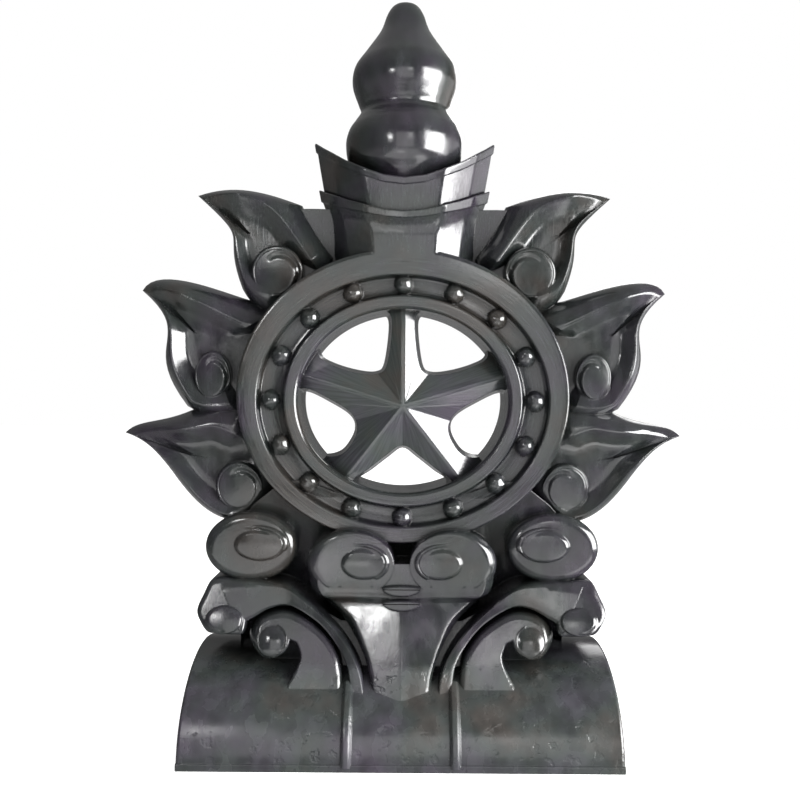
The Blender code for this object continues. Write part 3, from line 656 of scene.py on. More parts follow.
# Each step of the strip is (share of its width, share of its drop).
LOBE_SECTION = [(0.0, 1.35), (0.10, 1.0), (0.28, 0.62), (0.50, 0.36), (0.72, 0.16), (0.90, 0.05), (1.12, 0.0)]
HOLLOW_BACK = leaning(foot_y=0.0330, foot_z=0.0600, lean=0.45)
LOBE_HEAD = (0.0998, 0.0846, 0.0112, 0.0112)
LOBE_HEAD_RISE = -0.0014
LOBE_HEAD_DOME = 0.0024
LOBE_GROOVE = dict(start=110, sweep=150, hand=-1, stops=(1.05, 1.00), widths=(0.30, 0.22), depth=0.0016)


def make_lobe():
    """The lobe's face, with a strip and a drop of its own at each point of the outline."""
    roll = flow(LOBE_ROLL, 5)
    outline = roll + flow(LOBE_THROAT, 3) + flow(LOBE_TOE, 3)
    strips = []
    drops = []
    for i in range(len(outline)):
        cheek = ease(CHEEK_FROM, CHEEK_TO, i)
        on_roll = i < len(roll)
        strips.append(LOBE_STRIP + (LOBE_CHEEK_STRIP - LOBE_STRIP) * cheek if on_roll else LOBE_INNER_STRIP)
        drops.append(LOBE_DROP + (LOBE_CHEEK_DROP - LOBE_DROP) * cheek if on_roll else LOBE_INNER_STRIP)
    rings = [[(x, -sloping(x, z, -BACK_DROP), z) for x, z in step_in(outline, LOBE_BACK_INSET)],
             [(x, 0.0, z) for x, z in outline]]
    for share, fall in LOBE_SECTION:
        loop = step_in(outline, [strip * share for strip in strips])
        rings.append([(x, sloping(x, z, -drop * fall - LOBE_RECESS), z) for (x, z), drop in zip(loop, drops)])
    return draw_out("lobe", rings)


keep([make_lobe(),
      raise_plate("lobe_backing", LOBE_BACKING, HOLLOW_BACK, [(0.0, 0.0)]),
      make_scroll_eye("lobe_head", LOBE_HEAD, sloping, LOBE_HEAD_RISE, LOBE_GROOVE, LOBE_HEAD_DOME, NO_LINE)],
     paired=True)

# %% [markdown]
# ## The ring
# The ring has a flat outer band, a sunken channel with beads, and a raised inner ring round the
# star's opening. It is wider than it is tall, and each edge has its own half width and half
# height. A torus couldn't follow that. We draw half sizes as a section, spin that round, then
# squash each circle to its own oval.

# %% Spin a section round an axis
SPIN_MERGE = 1e-5


def spin_round(name, section, steps, axis, closed):
    """A closed form from (x, y, z) points that are spun once round an axis through the origin."""
    put_down()
    count = len(section)
    edges = [(i, (i + 1) % count) for i in range(count if closed else count - 1)]
    mesh = bpy.data.meshes.new(name)
    mesh.from_pydata(section, edges, [])
    form = bpy.data.objects.new(name, mesh)
    bpy.context.scene.collection.objects.link(form)
    pick_up(form)
    bpy.ops.object.mode_set(mode="EDIT")
    bpy.ops.mesh.select_all(action="SELECT")
    bpy.ops.mesh.spin(steps=steps, angle=2.0 * math.pi, center=(0, 0, 0), axis=axis)
    bpy.ops.mesh.select_all(action="SELECT")
    bpy.ops.mesh.remove_doubles(threshold=SPIN_MERGE)
    bpy.ops.mesh.normals_make_consistent(inside=False)
    bpy.ops.object.mode_set(mode="OBJECT")
    return form


# %% Ring
RING_Z = 0.2733
RING_CORE_Z = 0.2693
RING_FACE_Y = 0.0315
RING_OUTER = (0.1331, 0.1178)
CHANNEL_OUTER = (0.1169, 0.1006)
CHANNEL_INNER = (0.0950, 0.0839)
RING_HOLE = (0.0840, 0.0732)
CHANNEL_FLOOR_Y = 0.0235
CHANNEL_FLAT = 0.0090
BACK_CHANNEL_FLOOR_Y = 0.0275
BACK_CHANNEL_SLOPE = 0.0018
RING_ARRIS = 0.0014
ARRIS_SOFTNESS = 0.3
RING_STEPS = 144
# Steps up a channel wall are (away from the wall's edge, above the floor), and steps round the
# hole's edge are (out from the hole, back from the face).
CHANNEL_FILLET = [(0.0008, 0.0044), (0.0014, 0.0022), (0.0026, 0.0009), (0.0050, 0.0002)]
HOLE_ROUND = [(0.0036, 0.0001), (0.0022, 0.0007), (0.0010, 0.0018), (0.0003, 0.0034), (0.0, 0.0055)]


def ring_section():
    """Points (half width, y), from the back of the outer wall over the front to the hole's back."""
    outer, rim, inner, hole = RING_OUTER[0], CHANNEL_OUTER[0], CHANNEL_INNER[0], RING_HOLE[0]
    front, floor, arris = -RING_FACE_Y, -CHANNEL_FLOOR_Y, RING_ARRIS
    soft = arris * ARRIS_SOFTNESS
    section = [(outer, -front - arris), (outer, front + 2 * arris), (outer - soft, front + arris),
               (outer - arris, front + soft), (outer - 2 * arris, front),
               (rim + arris, front), (rim + soft, front + soft), (rim - soft, front + arris)]
    section += [(rim - away, floor - above) for away, above in CHANNEL_FILLET]
    section.append((rim - CHANNEL_FLAT, floor))
    section += [(inner + away, floor - above) for away, above in reversed(CHANNEL_FILLET)]
    section += [(inner + soft, front + arris), (inner - soft, front + soft), (inner - arris, front)]
    section += [(hole + away, front + back) for away, back in HOLE_ROUND]
    section += [(hole, -front - arris), (hole + arris, -front), (inner, -front),
                (inner + BACK_CHANNEL_SLOPE, BACK_CHANNEL_FLOOR_Y),
                (rim - BACK_CHANNEL_SLOPE, BACK_CHANNEL_FLOOR_Y), (rim, -front), (outer - arris, -front)]
    return section


def between(value, low, high, low_out, high_out):
    return low_out + (high_out - low_out) * (value - low) / (high - low)


def ring_shape(half_width):
    """Half height and centre height of the oval that has this half width."""
    edges = [RING_HOLE, CHANNEL_INNER, CHANNEL_OUTER, RING_OUTER]
    for low, high in zip(edges, edges[1:]):
        if half_width <= high[0] or high is edges[-1]:
            break
    half_height = between(half_width, low[0], high[0], low[1], high[1])
    lift = max(0.0, between(half_width, CHANNEL_OUTER[0], RING_OUTER[0], 0.0, 1.0))
    return half_height, RING_CORE_Z + (RING_Z - RING_CORE_Z) * lift


def make_ring():
    section = [(x, y, 0.0) for x, y in ring_section()]
    ring = spin_round("ring", section, RING_STEPS, (0, 1, 0), closed=True)
    for corner in ring.data.vertices:
        half_width = math.hypot(corner.co.x, corner.co.z)
        half_height, centre_z = ring_shape(half_width)
        corner.co.z = centre_z + corner.co.z * half_height / half_width
    ring.data.update()
    return ring


keep([make_ring()])

# %% [markdown]
# ## Beads
# Sixteen worn domes sit in the channel. A ball is the right start, but a perfect one looks
# machined, so each is pushed in and out a little by noise, read at its own place.

# %% Beads in the channel
BEAD_COUNT = 16
BEAD_PATH = (0.1060, 0.0932)
BEAD_SIZE = (0.0081, 0.0086, 0.0084)
BEAD_SEGMENTS = 28
BEAD_RINGS = 18
BEAD_WEAR = 0.0009
# The noise has 210 lumps to the metre, so each is about 5 mm across.
WEAR_SCALE = 210.0
BEAD_SPREAD = 3.0


def make_bead(angle):
    """A worn dome at an angle round the channel, from the top."""
    place = Vector((BEAD_PATH[0] * math.sin(angle), -CHANNEL_FLOOR_Y,
                    RING_CORE_Z + BEAD_PATH[1] * math.cos(angle)))
    put_down()
    bpy.ops.mesh.primitive_uv_sphere_add(segments=BEAD_SEGMENTS, ring_count=BEAD_RINGS, radius=1.0)
    bead = bpy.context.object
    bead.name = "bead"
    for corner in bead.data.vertices:
        spot = Vector([corner.co[k] * BEAD_SIZE[k] for k in (0, 1, 2)])
        lump = noise.noise((spot + place * BEAD_SPREAD) * WEAR_SCALE)
        corner.co = place + spot + corner.co.normalized() * BEAD_WEAR * lump
    bead.data.update()
    return bead


for i in range(BEAD_COUNT):
    forms.append(make_bead(2.0 * math.pi * i / BEAD_COUNT))
print("beads:", BEAD_COUNT)

# %% [markdown]
# ## The star
# Five arms meet at a point in front of the opening, each folded along a ridge, and where they
# run into the ring the corners are well rounded, as a mould needs. Five separate arms would
# leave seams, so we make one folded form larger than it shows, bevel its ridges to narrow
# rounded strips, and cut the five openings out of it with smooth cutters. Every big facet also
# gets a narrow frame inset along its edge, which keeps its shading flat right up to the bevel.

# %% Star
STAR_ARMS = 5
ARM_TURN = 360.0 / STAR_ARMS
STAR_Z = 0.2648
STAR_SQUASH = 0.93
STAR_APEX_Y = 0.0215
STAR_FORWARD = 0.0080
RIDGE_FALL = 0.109
ACROSS_FALL = 0.490
STAR_VALLEY = 0.0500
STAR_SIDE_TURN = 15.0
STAR_BURIED = (0.0935, 0.0830)
STAR_BEVEL = 0.0030
STAR_BEVEL_STEPS = 4
STAR_FACET_AREA = 0.0002
STAR_FRAME = 0.0006
RIDGE_AT_LEAST = 0.05
HALVINGS = 30


def facet_y(u, v):
    """Depth of the folded star at a place, in its own round frame before it is squashed."""
    turn = math.radians(ARM_TURN)
    angle = abs((math.atan2(u, v) + turn / 2) % turn - turn / 2)
    radius = math.hypot(u, v)
    return STAR_APEX_Y - radius * (RIDGE_FALL * math.cos(angle) + ACROSS_FALL * math.sin(angle))


def reach_to_ring(u, v):
    """How far to go along a direction to end inside the ring's body, found by halving."""
    low, high = 0.0, 0.2
    for step in range(HALVINGS):
        middle = (low + high) / 2
        x, z = u * middle, STAR_Z + v * middle * STAR_SQUASH - RING_CORE_Z
        if (x / STAR_BURIED[0]) ** 2 + (z / STAR_BURIED[1]) ** 2 < 1.0:
            low = middle
        else:
            high = middle
    return low


def lies_on_ridge(edge):
    """True for the long edges that run straight out from the apex along an arm."""
    middle = (edge.verts[0].co + edge.verts[1].co) / 2
    angle = math.degrees(math.atan2(middle.x, (middle.z - STAR_Z) / STAR_SQUASH))
    off = (angle + ARM_TURN / 2) % ARM_TURN - ARM_TURN / 2
    return edge.calc_length() > RIDGE_AT_LEAST and abs(off) < 1.0


def fold_star(star, sides):
    """In edit mode, give both ends of the star an apex."""
    edit = bmesh.from_edit_mesh(star.data)
    for face in edit.faces:
        face.select = len(face.verts) == sides
    bpy.ops.mesh.poke()
    edit = bmesh.from_edit_mesh(star.data)
    for corner in edit.verts:
        if len(corner.link_edges) == sides:
            ahead = corner.co.y < 0.0
            corner.co = (0.0, -STAR_APEX_Y - STAR_FORWARD if ahead else STAR_APEX_Y, STAR_Z)


def bevel_ridges(star):
    """In edit mode, round the ridges of the arms."""
    bpy.ops.mesh.select_mode(type="EDGE")
    bpy.ops.mesh.select_all(action="DESELECT")
    edit = bmesh.from_edit_mesh(star.data)
    for edge in edit.edges:
        edge.select_set(lies_on_ridge(edge))
    bmesh.update_edit_mesh(star.data)
    bpy.ops.mesh.bevel(offset=STAR_BEVEL, offset_type="WIDTH", segments=STAR_BEVEL_STEPS, profile=0.5)


def frame_facets(star):
    """In edit mode, inset a narrow frame along the edge of every big facet."""
    bpy.ops.mesh.select_mode(type="FACE")
    bpy.ops.mesh.select_all(action="DESELECT")
    edit = bmesh.from_edit_mesh(star.data)
    for face in edit.faces:
        face.select_set(face.calc_area() > STAR_FACET_AREA)
    bmesh.update_edit_mesh(star.data)
    bpy.ops.mesh.inset(thickness=STAR_FRAME, use_individual=True)


def make_star():
    front = []
    for i in range(STAR_ARMS):
        for offset in (0.0, STAR_SIDE_TURN, ARM_TURN / 2, ARM_TURN - STAR_SIDE_TURN):
            angle = math.radians(ARM_TURN * i + offset)
            u, v = math.sin(angle), math.cos(angle)
            radius = STAR_VALLEY if offset == ARM_TURN / 2 else reach_to_ring(u, v)
            front.append((u * radius, facet_y(u * radius, v * radius), STAR_Z + v * radius * STAR_SQUASH))
    back = [(x, -y - STAR_FORWARD, z) for x, y, z in front]
    star = draw_out("star", [front, back])
    pick_up(star)
    bpy.ops.object.mode_set(mode="EDIT")
    bpy.ops.mesh.select_all(action="DESELECT")
    fold_star(star, len(front))
    bevel_ridges(star)
    frame_facets(star)
    bpy.ops.mesh.select_all(action="SELECT")
    bpy.ops.mesh.normals_make_consistent(inside=False)
    bpy.ops.object.mode_set(mode="OBJECT")
    return star


star = make_star()

# %% Openings between the arms
OPENING_DRAFT = 0.13
OPENING_REACH = 0.040
DRAFT_FROM_Y = 0.0075
UPPER_OPENING = [(0.0160, 0.3010), (0.0228, 0.2938), (0.0388, 0.2950), (0.0570, 0.3006), (0.0670, 0.3075),
                 (0.0625, 0.3200), (0.0480, 0.3320), (0.0320, 0.3395), (0.0180, 0.3400), (0.0124, 0.3330)]
SIDE_OPENING = [(0.0800, 0.2760), (0.0590, 0.2664), (0.0445, 0.2570), (0.0400, 0.2475), (0.0438, 0.2365),
                (0.0520, 0.2275), (0.0650, 0.2265), (0.0780, 0.2380), (0.0855, 0.2540), (0.0865, 0.2680)]
BOTTOM_OPENING_HALF = [(0.0000, 0.2298), (0.0115, 0.2223), (0.0260, 0.2110), (0.0365, 0.2035),
                       (0.0310, 0.1965), (0.0000, 0.1930)]


def make_opening(outline):
    """A cutter that widens toward the front, as the draft of a mould's core."""
    outline = flow(outline, 5, closed=True)
    rings = []
    for y in (OPENING_REACH, DRAFT_FROM_Y, -OPENING_REACH):
        widened = OPENING_DRAFT * min(0.0, y - DRAFT_FROM_Y)
        rings.append([(x, y, z) for x, z in step_in(outline, widened)])
    return draw_out("opening", rings)


def star_openings():
    bottom = BOTTOM_OPENING_HALF + [(-x, z) for x, z in reversed(BOTTOM_OPENING_HALF[1:-1])]
    cutters = [make_opening(bottom)]
    for outline in (UPPER_OPENING, SIDE_OPENING):
        cutter = make_opening(outline)
        cutters += [cutter, other_hand(cutter)]
    return cutters


keep([weld(star, star_openings(), "DIFFERENCE")])
print("star:", len(star.data.polygons), "faces")

# %% [markdown]
# ## Flame leaves
# Three leaves lick outward from each side of the ring. Seen from the front, each is a trough
# between two crests: the face climbs from the outline, gently on the upper side and steeply
# below, to a crest line, falls to a sunken floor, and a round volute sits at the inner end.
# Behind the ring's rim the crest sinks away, so that no wall stands up beside the ring. Outline
# and crest line are drawn with the same number of points, so that the rings between them can be
# worked out by sharing.

# %% Outlines and crest lines of the leaves
# A line is a closed chain of curves. Each row is a knot and the two handles after it, and
# "steps" says how many points each curve gets.
UPPER_LEAF = {
    "name": "upper_leaf",
    "steps": (16, 8, 8, 10, 18),
    "outline": [(0.1710, 0.4378), (0.1420, 0.4480), (0.1100, 0.4400),
                (0.0841, 0.4300), (0.0790, 0.4180), (0.0710, 0.4010),
                (0.0591, 0.3873), (0.0600, 0.3600), (0.0800, 0.3350),
                (0.0900, 0.3300), (0.1100, 0.3350), (0.1250, 0.3450),
                (0.1328, 0.3594), (0.1528, 0.4112), (0.1211, 0.3936)],
    "crest": [(0.1640, 0.4330), (0.1430, 0.4400), (0.1250, 0.4340),
              (0.1090, 0.4250), (0.0960, 0.4160), (0.0860, 0.3960),
              (0.0690, 0.3740), (0.0760, 0.3640), (0.0830, 0.3580),
              (0.0900, 0.3550), (0.1080, 0.3520), (0.1230, 0.3560),
              (0.1290, 0.3680), (0.1440, 0.4060), (0.1230, 0.4020)],
    "volute": (0.1029, 0.3728, 0.0214, 0.0214),
}
MIDDLE_LEAF = {
    "name": "middle_leaf",
    "steps": (16, 8, 8, 10, 18),
    "outline": [(0.2166, 0.3590), (0.2049, 0.3834), (0.1420, 0.3542),
                (0.1245, 0.3511), (0.1150, 0.3480), (0.1050, 0.3430),
                (0.0980, 0.3370), (0.0950, 0.3100), (0.1000, 0.2800),
                (0.1100, 0.2620), (0.1350, 0.2520), (0.1600, 0.2520),
                (0.1776, 0.2631), (0.2208, 0.3184), (0.1679, 0.3177)],
    "crest": [(0.2090, 0.3560), (0.1950, 0.3620), (0.1700, 0.3500),
              (0.1450, 0.3370), (0.1370, 0.3330), (0.1280, 0.3300),
              (0.1210, 0.3240), (0.1180, 0.3100), (0.1200, 0.2850),
              (0.1290, 0.2720), (0.1400, 0.2640), (0.1580, 0.2620),
              (0.1700, 0.2680), (0.2060, 0.3140), (0.1680, 0.3250)],
    "volute": (0.1545, 0.2885, 0.0148, 0.0202),
}
LOWER_LEAF = {
    "name": "lower_leaf",
    "steps": (16, 8, 8, 8, 10, 10),
    "outline": [(0.2299, 0.2415), (0.2170, 0.2545), (0.1960, 0.2470),
                (0.1640, 0.2660), (0.1500, 0.2720), (0.1300, 0.2760),
                (0.1180, 0.2760), (0.1000, 0.2550), (0.0950, 0.2200),
                (0.1000, 0.2000), (0.1080, 0.1820), (0.1230, 0.1720),
                (0.1370, 0.1693), (0.1588, 0.1706), (0.1736, 0.1880),
                (0.1859, 0.2042), (0.1985, 0.2221), (0.2079, 0.2340)],
    "crest": [(0.2210, 0.2400), (0.2000, 0.2420), (0.1800, 0.2440),
              (0.1560, 0.2480), (0.1480, 0.2480), (0.1380, 0.2440),
              (0.1310, 0.2380), (0.1200, 0.2250), (0.1170, 0.2080),
              (0.1190, 0.1950), (0.1210, 0.1850), (0.1290, 0.1780),
              (0.1390, 0.1760), (0.1540, 0.1780), (0.1680, 0.1930),
              (0.1800, 0.2090), (0.1920, 0.2230), (0.2030, 0.2330)],
    "volute": (0.1323, 0.1989, 0.0194, 0.0206),
}

# %% Flame leaves
LEAF_BACK_Y = 0.0170
CREST_Y = 0.0200
TIP_Y = 0.0080
FLOOR_Y = 0.0110
TIP_REACH = 0.045
# The crest sinks between these two places, where 1 is the ring's outer edge.
SINK_FROM = 1.07
SINK_TO = 0.99
# Steps of the back and the front are (share of the way from outline to crest, share of the
# depth), and steps of the trough are (share of the way to its middle, share of its fall).
LEAF_BACK = [(0.75, 1.0), (0.70, 0.96), (0.30, 0.72), (0.0, 0.0)]
LEAF_FRONT = [(0.10, 0.36), (0.30, 0.62), (0.55, 0.84), (0.80, 0.965), (0.93, 1.0), (1.0, 0.995)]
LEAF_TROUGH = [(0.04, 0.05), (0.12, 0.24), (0.34, 0.78), (0.44, 0.93), (0.58, 1.0), (0.80, 1.0)]


def leaf_loop(chain, steps):
    """Points along a closed chain of curves that meet end to end."""
    closed = chain + chain[:1]
    loop = []
    for i, count in enumerate(steps):
        loop += arc(*closed[3 * i:3 * i + 4], count)
    return loop


def make_leaf(leaf):
    outline = leaf_loop(leaf["outline"], leaf["steps"])
    crest = leaf_loop(leaf["crest"], leaf["steps"])
    tip = Vector(leaf["outline"][0])

    def reach(point, high):
        """Depth at a point: low at the tip, growing to high."""
        away = (Vector(point) - tip).length
        return TIP_Y + (high - TIP_Y) * ease(0.0, TIP_REACH, away)

    def crest_height(a, c):
        """Height of the crest at c, which sinks away behind the ring's rim."""
        high = reach(a, CREST_Y)
        rim = math.hypot(c[0] / RING_OUTER[0], (c[1] - RING_Z) / RING_OUTER[1])
        return high + (min(high, FLOOR_Y) - high) * ease(SINK_FROM, SINK_TO, rim)

    rings = []
    for share, depth in LEAF_BACK:
        ring = [(a, part_way(a, c, share)) for a, c in zip(outline, crest)]
        rings.append([(x, reach(a, LEAF_BACK_Y) * depth, z) for a, (x, z) in ring])
    for share, depth in LEAF_FRONT:
        ring = [(crest_height(a, c), part_way(a, c, share)) for a, c in zip(outline, crest)]
        rings.append([(x, -high * depth, z) for high, (x, z) in ring])
    middle = Vector([sum(p[k] for p in crest) / len(crest) for k in (0, 1)])
    for share, depth in LEAF_TROUGH:
        ring = []
        for a, c in zip(outline, crest):
            spot = Vector(c).lerp(middle, share)
            high = crest_height(a, c)
            low = min(high, FLOOR_Y)
            ring.append((spot.x, -(high + (low - high) * depth), spot.y))
        rings.append(ring)
    return draw_out(leaf["name"], rings)


# %% Volutes, and the roots that carry the upper leaves beside the cup
VOLUTE_FACE_Y = 0.0165
VOLUTE_RISE = 0.0034
VOLUTE_TILT = 0.13
TILT_ACROSS = 0.8
TILT_UP = 0.6
VOLUTE_GROOVE = dict(start=-25, sweep=285, hand=-1, stops=(1.22, 0.52), widths=(0.30, 0.12), depth=0.0046)
ROOT = [(0.0420, 0.3700), (0.0850, 0.3700), (0.0900, 0.4150), (0.0890, 0.4262), (0.0760, 0.4264),
        (0.0600, 0.4262), (0.0420, 0.4250)]
ROOT_FACE = leaning(foot_y=0.0020, foot_z=0.4000, lean=0.20)
ROOT_BACK_Y = 0.012


def tilted(spot, reach):
    """A face that stands out toward the ring and upward, and sinks in on the other side."""
    return lambda x, z, rise: -(reach + VOLUTE_TILT * (TILT_ACROSS * (spot[0] - x) + TILT_UP * (z - spot[1]))
                                + rise)


def make_volute(spot):
    return make_scroll_eye("volute", spot, tilted(spot, VOLUTE_FACE_Y), VOLUTE_RISE, VOLUTE_GROOVE)


keep([raise_plate("leaf_root", ROOT, ROOT_FACE, [(0.0, 0.0)], ROOT_BACK_Y)], paired=True)
for leaf in (UPPER_LEAF, MIDDLE_LEAF, LOWER_LEAF):
    keep([make_leaf(leaf), make_volute(leaf["volute"])], paired=True)

# %% [markdown]
# ## The cup
# Two boat shaped tiers with upturned ends carry the gourd. Their plan is faceted: a flat middle
# facet, two oblique ones and pointed ends, with softly rounded corners. A box bent upward would
# lose the facets' even width, so every ring of a tier is this plan at its own size, lifted
# toward the ends.

# %% Cup
# A quarter of the plan as (x, y) shares of the half length and half depth, from end to middle.
CUP_PLAN = [(1.00, 0.00), (0.80, 0.50), (0.45, 0.95), (0.00, 1.00)]
CUP_FRONT_STOP = (0.22, 0.976)
CUP_RIM_POWER = 1.9
CUP_CORNER = 0.05
# Rings of a tier are (half length, half depth, height in the middle, height at the ends).
LOWER_TIER = [
    (0.0500, 0.0270, 0.3720, 0.3720), (0.0515, 0.0285, 0.3820, 0.3820), (0.0540, 0.0308, 0.3920, 0.3930),
    (0.0585, 0.0345, 0.4020, 0.4085), (0.0640, 0.0395, 0.4090, 0.4235), (0.0672, 0.0424, 0.4122, 0.4325),
    (0.0690, 0.0438, 0.4130, 0.4338), (0.0703, 0.0450, 0.4158, 0.4402), (0.0708, 0.0454, 0.4170, 0.4426),
    (0.0702, 0.0449, 0.4180, 0.4432), (0.0690, 0.0438, 0.4180, 0.4430), (0.0680, 0.0427, 0.4172, 0.4420),
    (0.0600, 0.0350, 0.4100, 0.4100),
]
UPPER_TIER = [
    (0.0560, 0.0320, 0.3800, 0.3800), (0.0590, 0.0350, 0.4000, 0.4020), (0.0630, 0.0395, 0.4140, 0.4230),
    (0.0666, 0.0416, 0.4255, 0.4420), (0.0702, 0.0430, 0.4345, 0.4625), (0.0720, 0.0434, 0.4383, 0.4735),
    (0.0736, 0.0446, 0.4391, 0.4748), (0.0745, 0.0454, 0.4420, 0.4800), (0.0744, 0.0454, 0.4434, 0.4815),
    (0.0736, 0.0447, 0.4443, 0.4820), (0.0724, 0.0436, 0.4443, 0.4815), (0.0713, 0.0425, 0.4434, 0.4800),
    (0.0610, 0.0330, 0.4370, 0.4370),
]


def cup_plan():
    """The plan's quarter with each corner cut back to a short curve, then all four quarters."""
    quarter = [CUP_PLAN[0]]
    for before, corner, after in zip(CUP_PLAN, CUP_PLAN[1:], CUP_PLAN[2:]):
        here = Vector(corner)
        start = here + (Vector(before) - here).normalized() * CUP_CORNER
        end = here + (Vector(after) - here).normalized() * CUP_CORNER
        middle = here.lerp((start + end) / 2, 0.5)
        quarter += [tuple((Vector(before) + start) / 2), tuple(start), tuple(middle), tuple(end)]
    quarter += [CUP_FRONT_STOP, CUP_PLAN[-1]]
    plan = [(x, -y) for x, y in quarter] + [(-x, -y) for x, y in reversed(quarter[:-1])]
    return plan + [(x, -y) for x, y in reversed(plan[1:-1])]


def make_tier(name, tier):
    plan = cup_plan()
    rings = []
    for half_length, half_depth, middle_z, end_z in tier:
        upturn = end_z - middle_z
        rings.append([(x * half_length, y * half_depth, middle_z + upturn * abs(x) ** CUP_RIM_POWER)
                      for x, y in plan])
    return draw_out(name, rings)


keep([make_tier("lower_tier", LOWER_TIER), make_tier("upper_tier", UPPER_TIER)])

# %% [markdown]
# ## The gourd
# The finial is a turned shape, so it is made as a turner would: its profile is drawn once and
# spun round the middle axis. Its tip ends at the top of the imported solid.

# %% Gourd
TOTAL_HEIGHT = CAD_BOX[1][2]
GOURD_STEPS = 72
# Places on the profile are (height, radius).
GOURD_PROFILE = [
    (0.4200, 0.0300), (0.4480, 0.0360), (0.4640, 0.0460), (0.4800, 0.0486), (0.4910, 0.0462),
    (0.4990, 0.0410), (0.5068, 0.0364), (0.5150, 0.0388), (0.5290, 0.0434), (0.5430, 0.0418),
    (0.5560, 0.0330), (0.5740, 0.0207), (0.5885, 0.0150), (0.5958, 0.0094), (0.5980, 0.0000),
]


def make_gourd():
    """The profile, closed over at its foot, and kept below the total height and off the far side."""
    profile = flow(GOURD_PROFILE, 5)
    section = [(0.0, 0.0, profile[0][0])]
    section += [(max(radius, 0.0), 0.0, min(z, TOTAL_HEIGHT)) for z, radius in profile]
    return spin_round("gourd", section, GOURD_STEPS, (0, 0, 1), closed=False)


keep([make_gourd()])
print("all together:", len(forms), "forms")

# %% [markdown]
# ## One moulding
# The real piece has one skin, so all forms are welded into one, and the tunnel is cut out last.
# Joining the forms without welding would be quicker, but would leave hidden faces inside. The
# Manifold solver is fast and needs closed forms. Weighted normals then keep the flat faces flat
# where they meet the small rounded edges.

# %% Weld the forms and cut the tunnel
CUT_CLEARANCE = 0.010
SMOOTH_BELOW = math.radians(25.0)
FLAT_FACE_WEIGHT = 85


def make_tunnel():
    section = arch(SADDLE_DEPTH / 2 - SADDLE_WALL, SADDLE_HEIGHT - SADDLE_WALL, SADDLE_STEPS)
    section = [(section[0][0], -CUT_CLEARANCE)] + section + [(section[-1][0], -CUT_CLEARANCE)]
    reach = SADDLE_LENGTH / 2 + CUT_CLEARANCE
    return draw_out("tunnel", [[(x, y, z) for y, z in section] for x in (-reach, reach)])


def count_open(form):
    """How many edges don't have exactly two faces."""
    check = bmesh.new()
    check.from_mesh(form.data)
    number = sum(1 for edge in check.edges if len(edge.link_faces) != 2)
    check.free()
    return number


for form in forms:
    if count_open(form):
        print("open form:", form.name, count_open(form))
ornament = weld(forms[0], forms[1:], "UNION")
weld(ornament, [make_tunnel()], "DIFFERENCE")
ornament.name = "ridge_ornament_moulding"
ornament.data.name = "ridge_ornament_moulding"
print("welded:", len(ornament.data.vertices), "corners,", count_open(ornament), "open edges")

# %% Smooth shading
pick_up(ornament)
bpy.ops.object.shade_smooth_by_angle(angle=SMOOTH_BELOW)
even = ornament.modifiers.new("even", "WEIGHTED_NORMAL")
even.keep_sharp = True
even.weight = FLAT_FACE_WEIGHT
bpy.ops.object.modifier_apply(modifier="even")
ornament.data.calc_loop_triangles()
print("shaded:", len(ornament.data.loop_triangles), "triangles")

# %% [markdown]
# ## The finish
# The real one is moulded synthetic resin: a dielectric in dark neutral grey with a high gloss.
# That gives the eye sharp reflections of lamps on a nearly black ground. It isn't even: streaks
# run along the forms, as if resin had flowed over the mould, clouds of violet, green and brown
# grey lie under them, and the polish varies from patch to patch. A picture could carry all this,
# but noise on Object coordinates holds real sizes and needs no unwrapping, so we build it of
# nodes.

# %% Colours and nodes
def linear(code):
    """An sRGB hex colour as linear values with full alpha."""
    values = [int(code[i:i + 2], 16) / 255.0 for i in (0, 2, 4)]
    return tuple(v / 12.92 if v <= 0.04045 else ((v + 0.055) / 1.055) ** 2.4 for v in values) + (1.0,)


def add(tree, kind, settings=(), links=()):
    """Add a node, set its values, and link other nodes' outputs to its inputs."""
    node = tree.nodes.new(kind)
    for key, value in dict(settings).items():
        if isinstance(key, int) or key in node.inputs:
            node.inputs[key].default_value = value
        else:
            setattr(node, key, value)
    for key, source in dict(links).items():
        tree.links.new(source, node.inputs[key])
    return node


# %% Start the resin
RESIN_IOR = 1.52

resin = bpy.data.materials.new("moulded_grey_resin")
resin.use_nodes = True
tree = resin.node_tree
shader = tree.nodes["Principled BSDF"]
shader.inputs["IOR"].default_value = RESIN_IOR
place = add(tree, "ShaderNodeTexCoord").outputs["Object"]
parts = add(tree, "ShaderNodeSeparateXYZ", {}, {"Vector": place}).outputs
print("resin: IOR", RESIN_IOR)

# %% [markdown]
# ### Zones
# The streaks lie differently on ring, star and cup, and the star and the base are paler. So the
# finish has to know where it is. Round the ring's middle we work out a radius, with the height
# stretched until the hole is round, and an angle. Each zone is then a band of radius or height,
# 1 inside and 0 outside, with a soft border.

# %% Zones
HOLE_STRETCH = RING_HOLE[0] / RING_HOLE[1]
ZONE_BORDER = 0.003
STAR_REACH = (-1.0, 0.083)
RING_REACH = (0.083, 0.134)
CUP_REACH = (0.392, 0.440)
BASE_REACH = (-0.01, 0.066)

centred = add(tree, "ShaderNodeMapping",
              {"Location": (0.0, 0.0, -RING_CORE_Z * HOLE_STRETCH), "Scale": (1.0, 0.0, HOLE_STRETCH)},
              {"Vector": place}).outputs["Vector"]
across = add(tree, "ShaderNodeSeparateXYZ", {}, {"Vector": centred}).outputs
radius = add(tree, "ShaderNodeVectorMath", {"operation": "LENGTH"}, {0: centred}).outputs["Value"]
angle = add(tree, "ShaderNodeMath", {"operation": "ARCTAN2"}, {0: across["X"], 1: across["Z"]})
polar = add(tree, "ShaderNodeCombineXYZ", {}, {"X": radius, "Y": angle.outputs["Value"]}).outputs["Vector"]

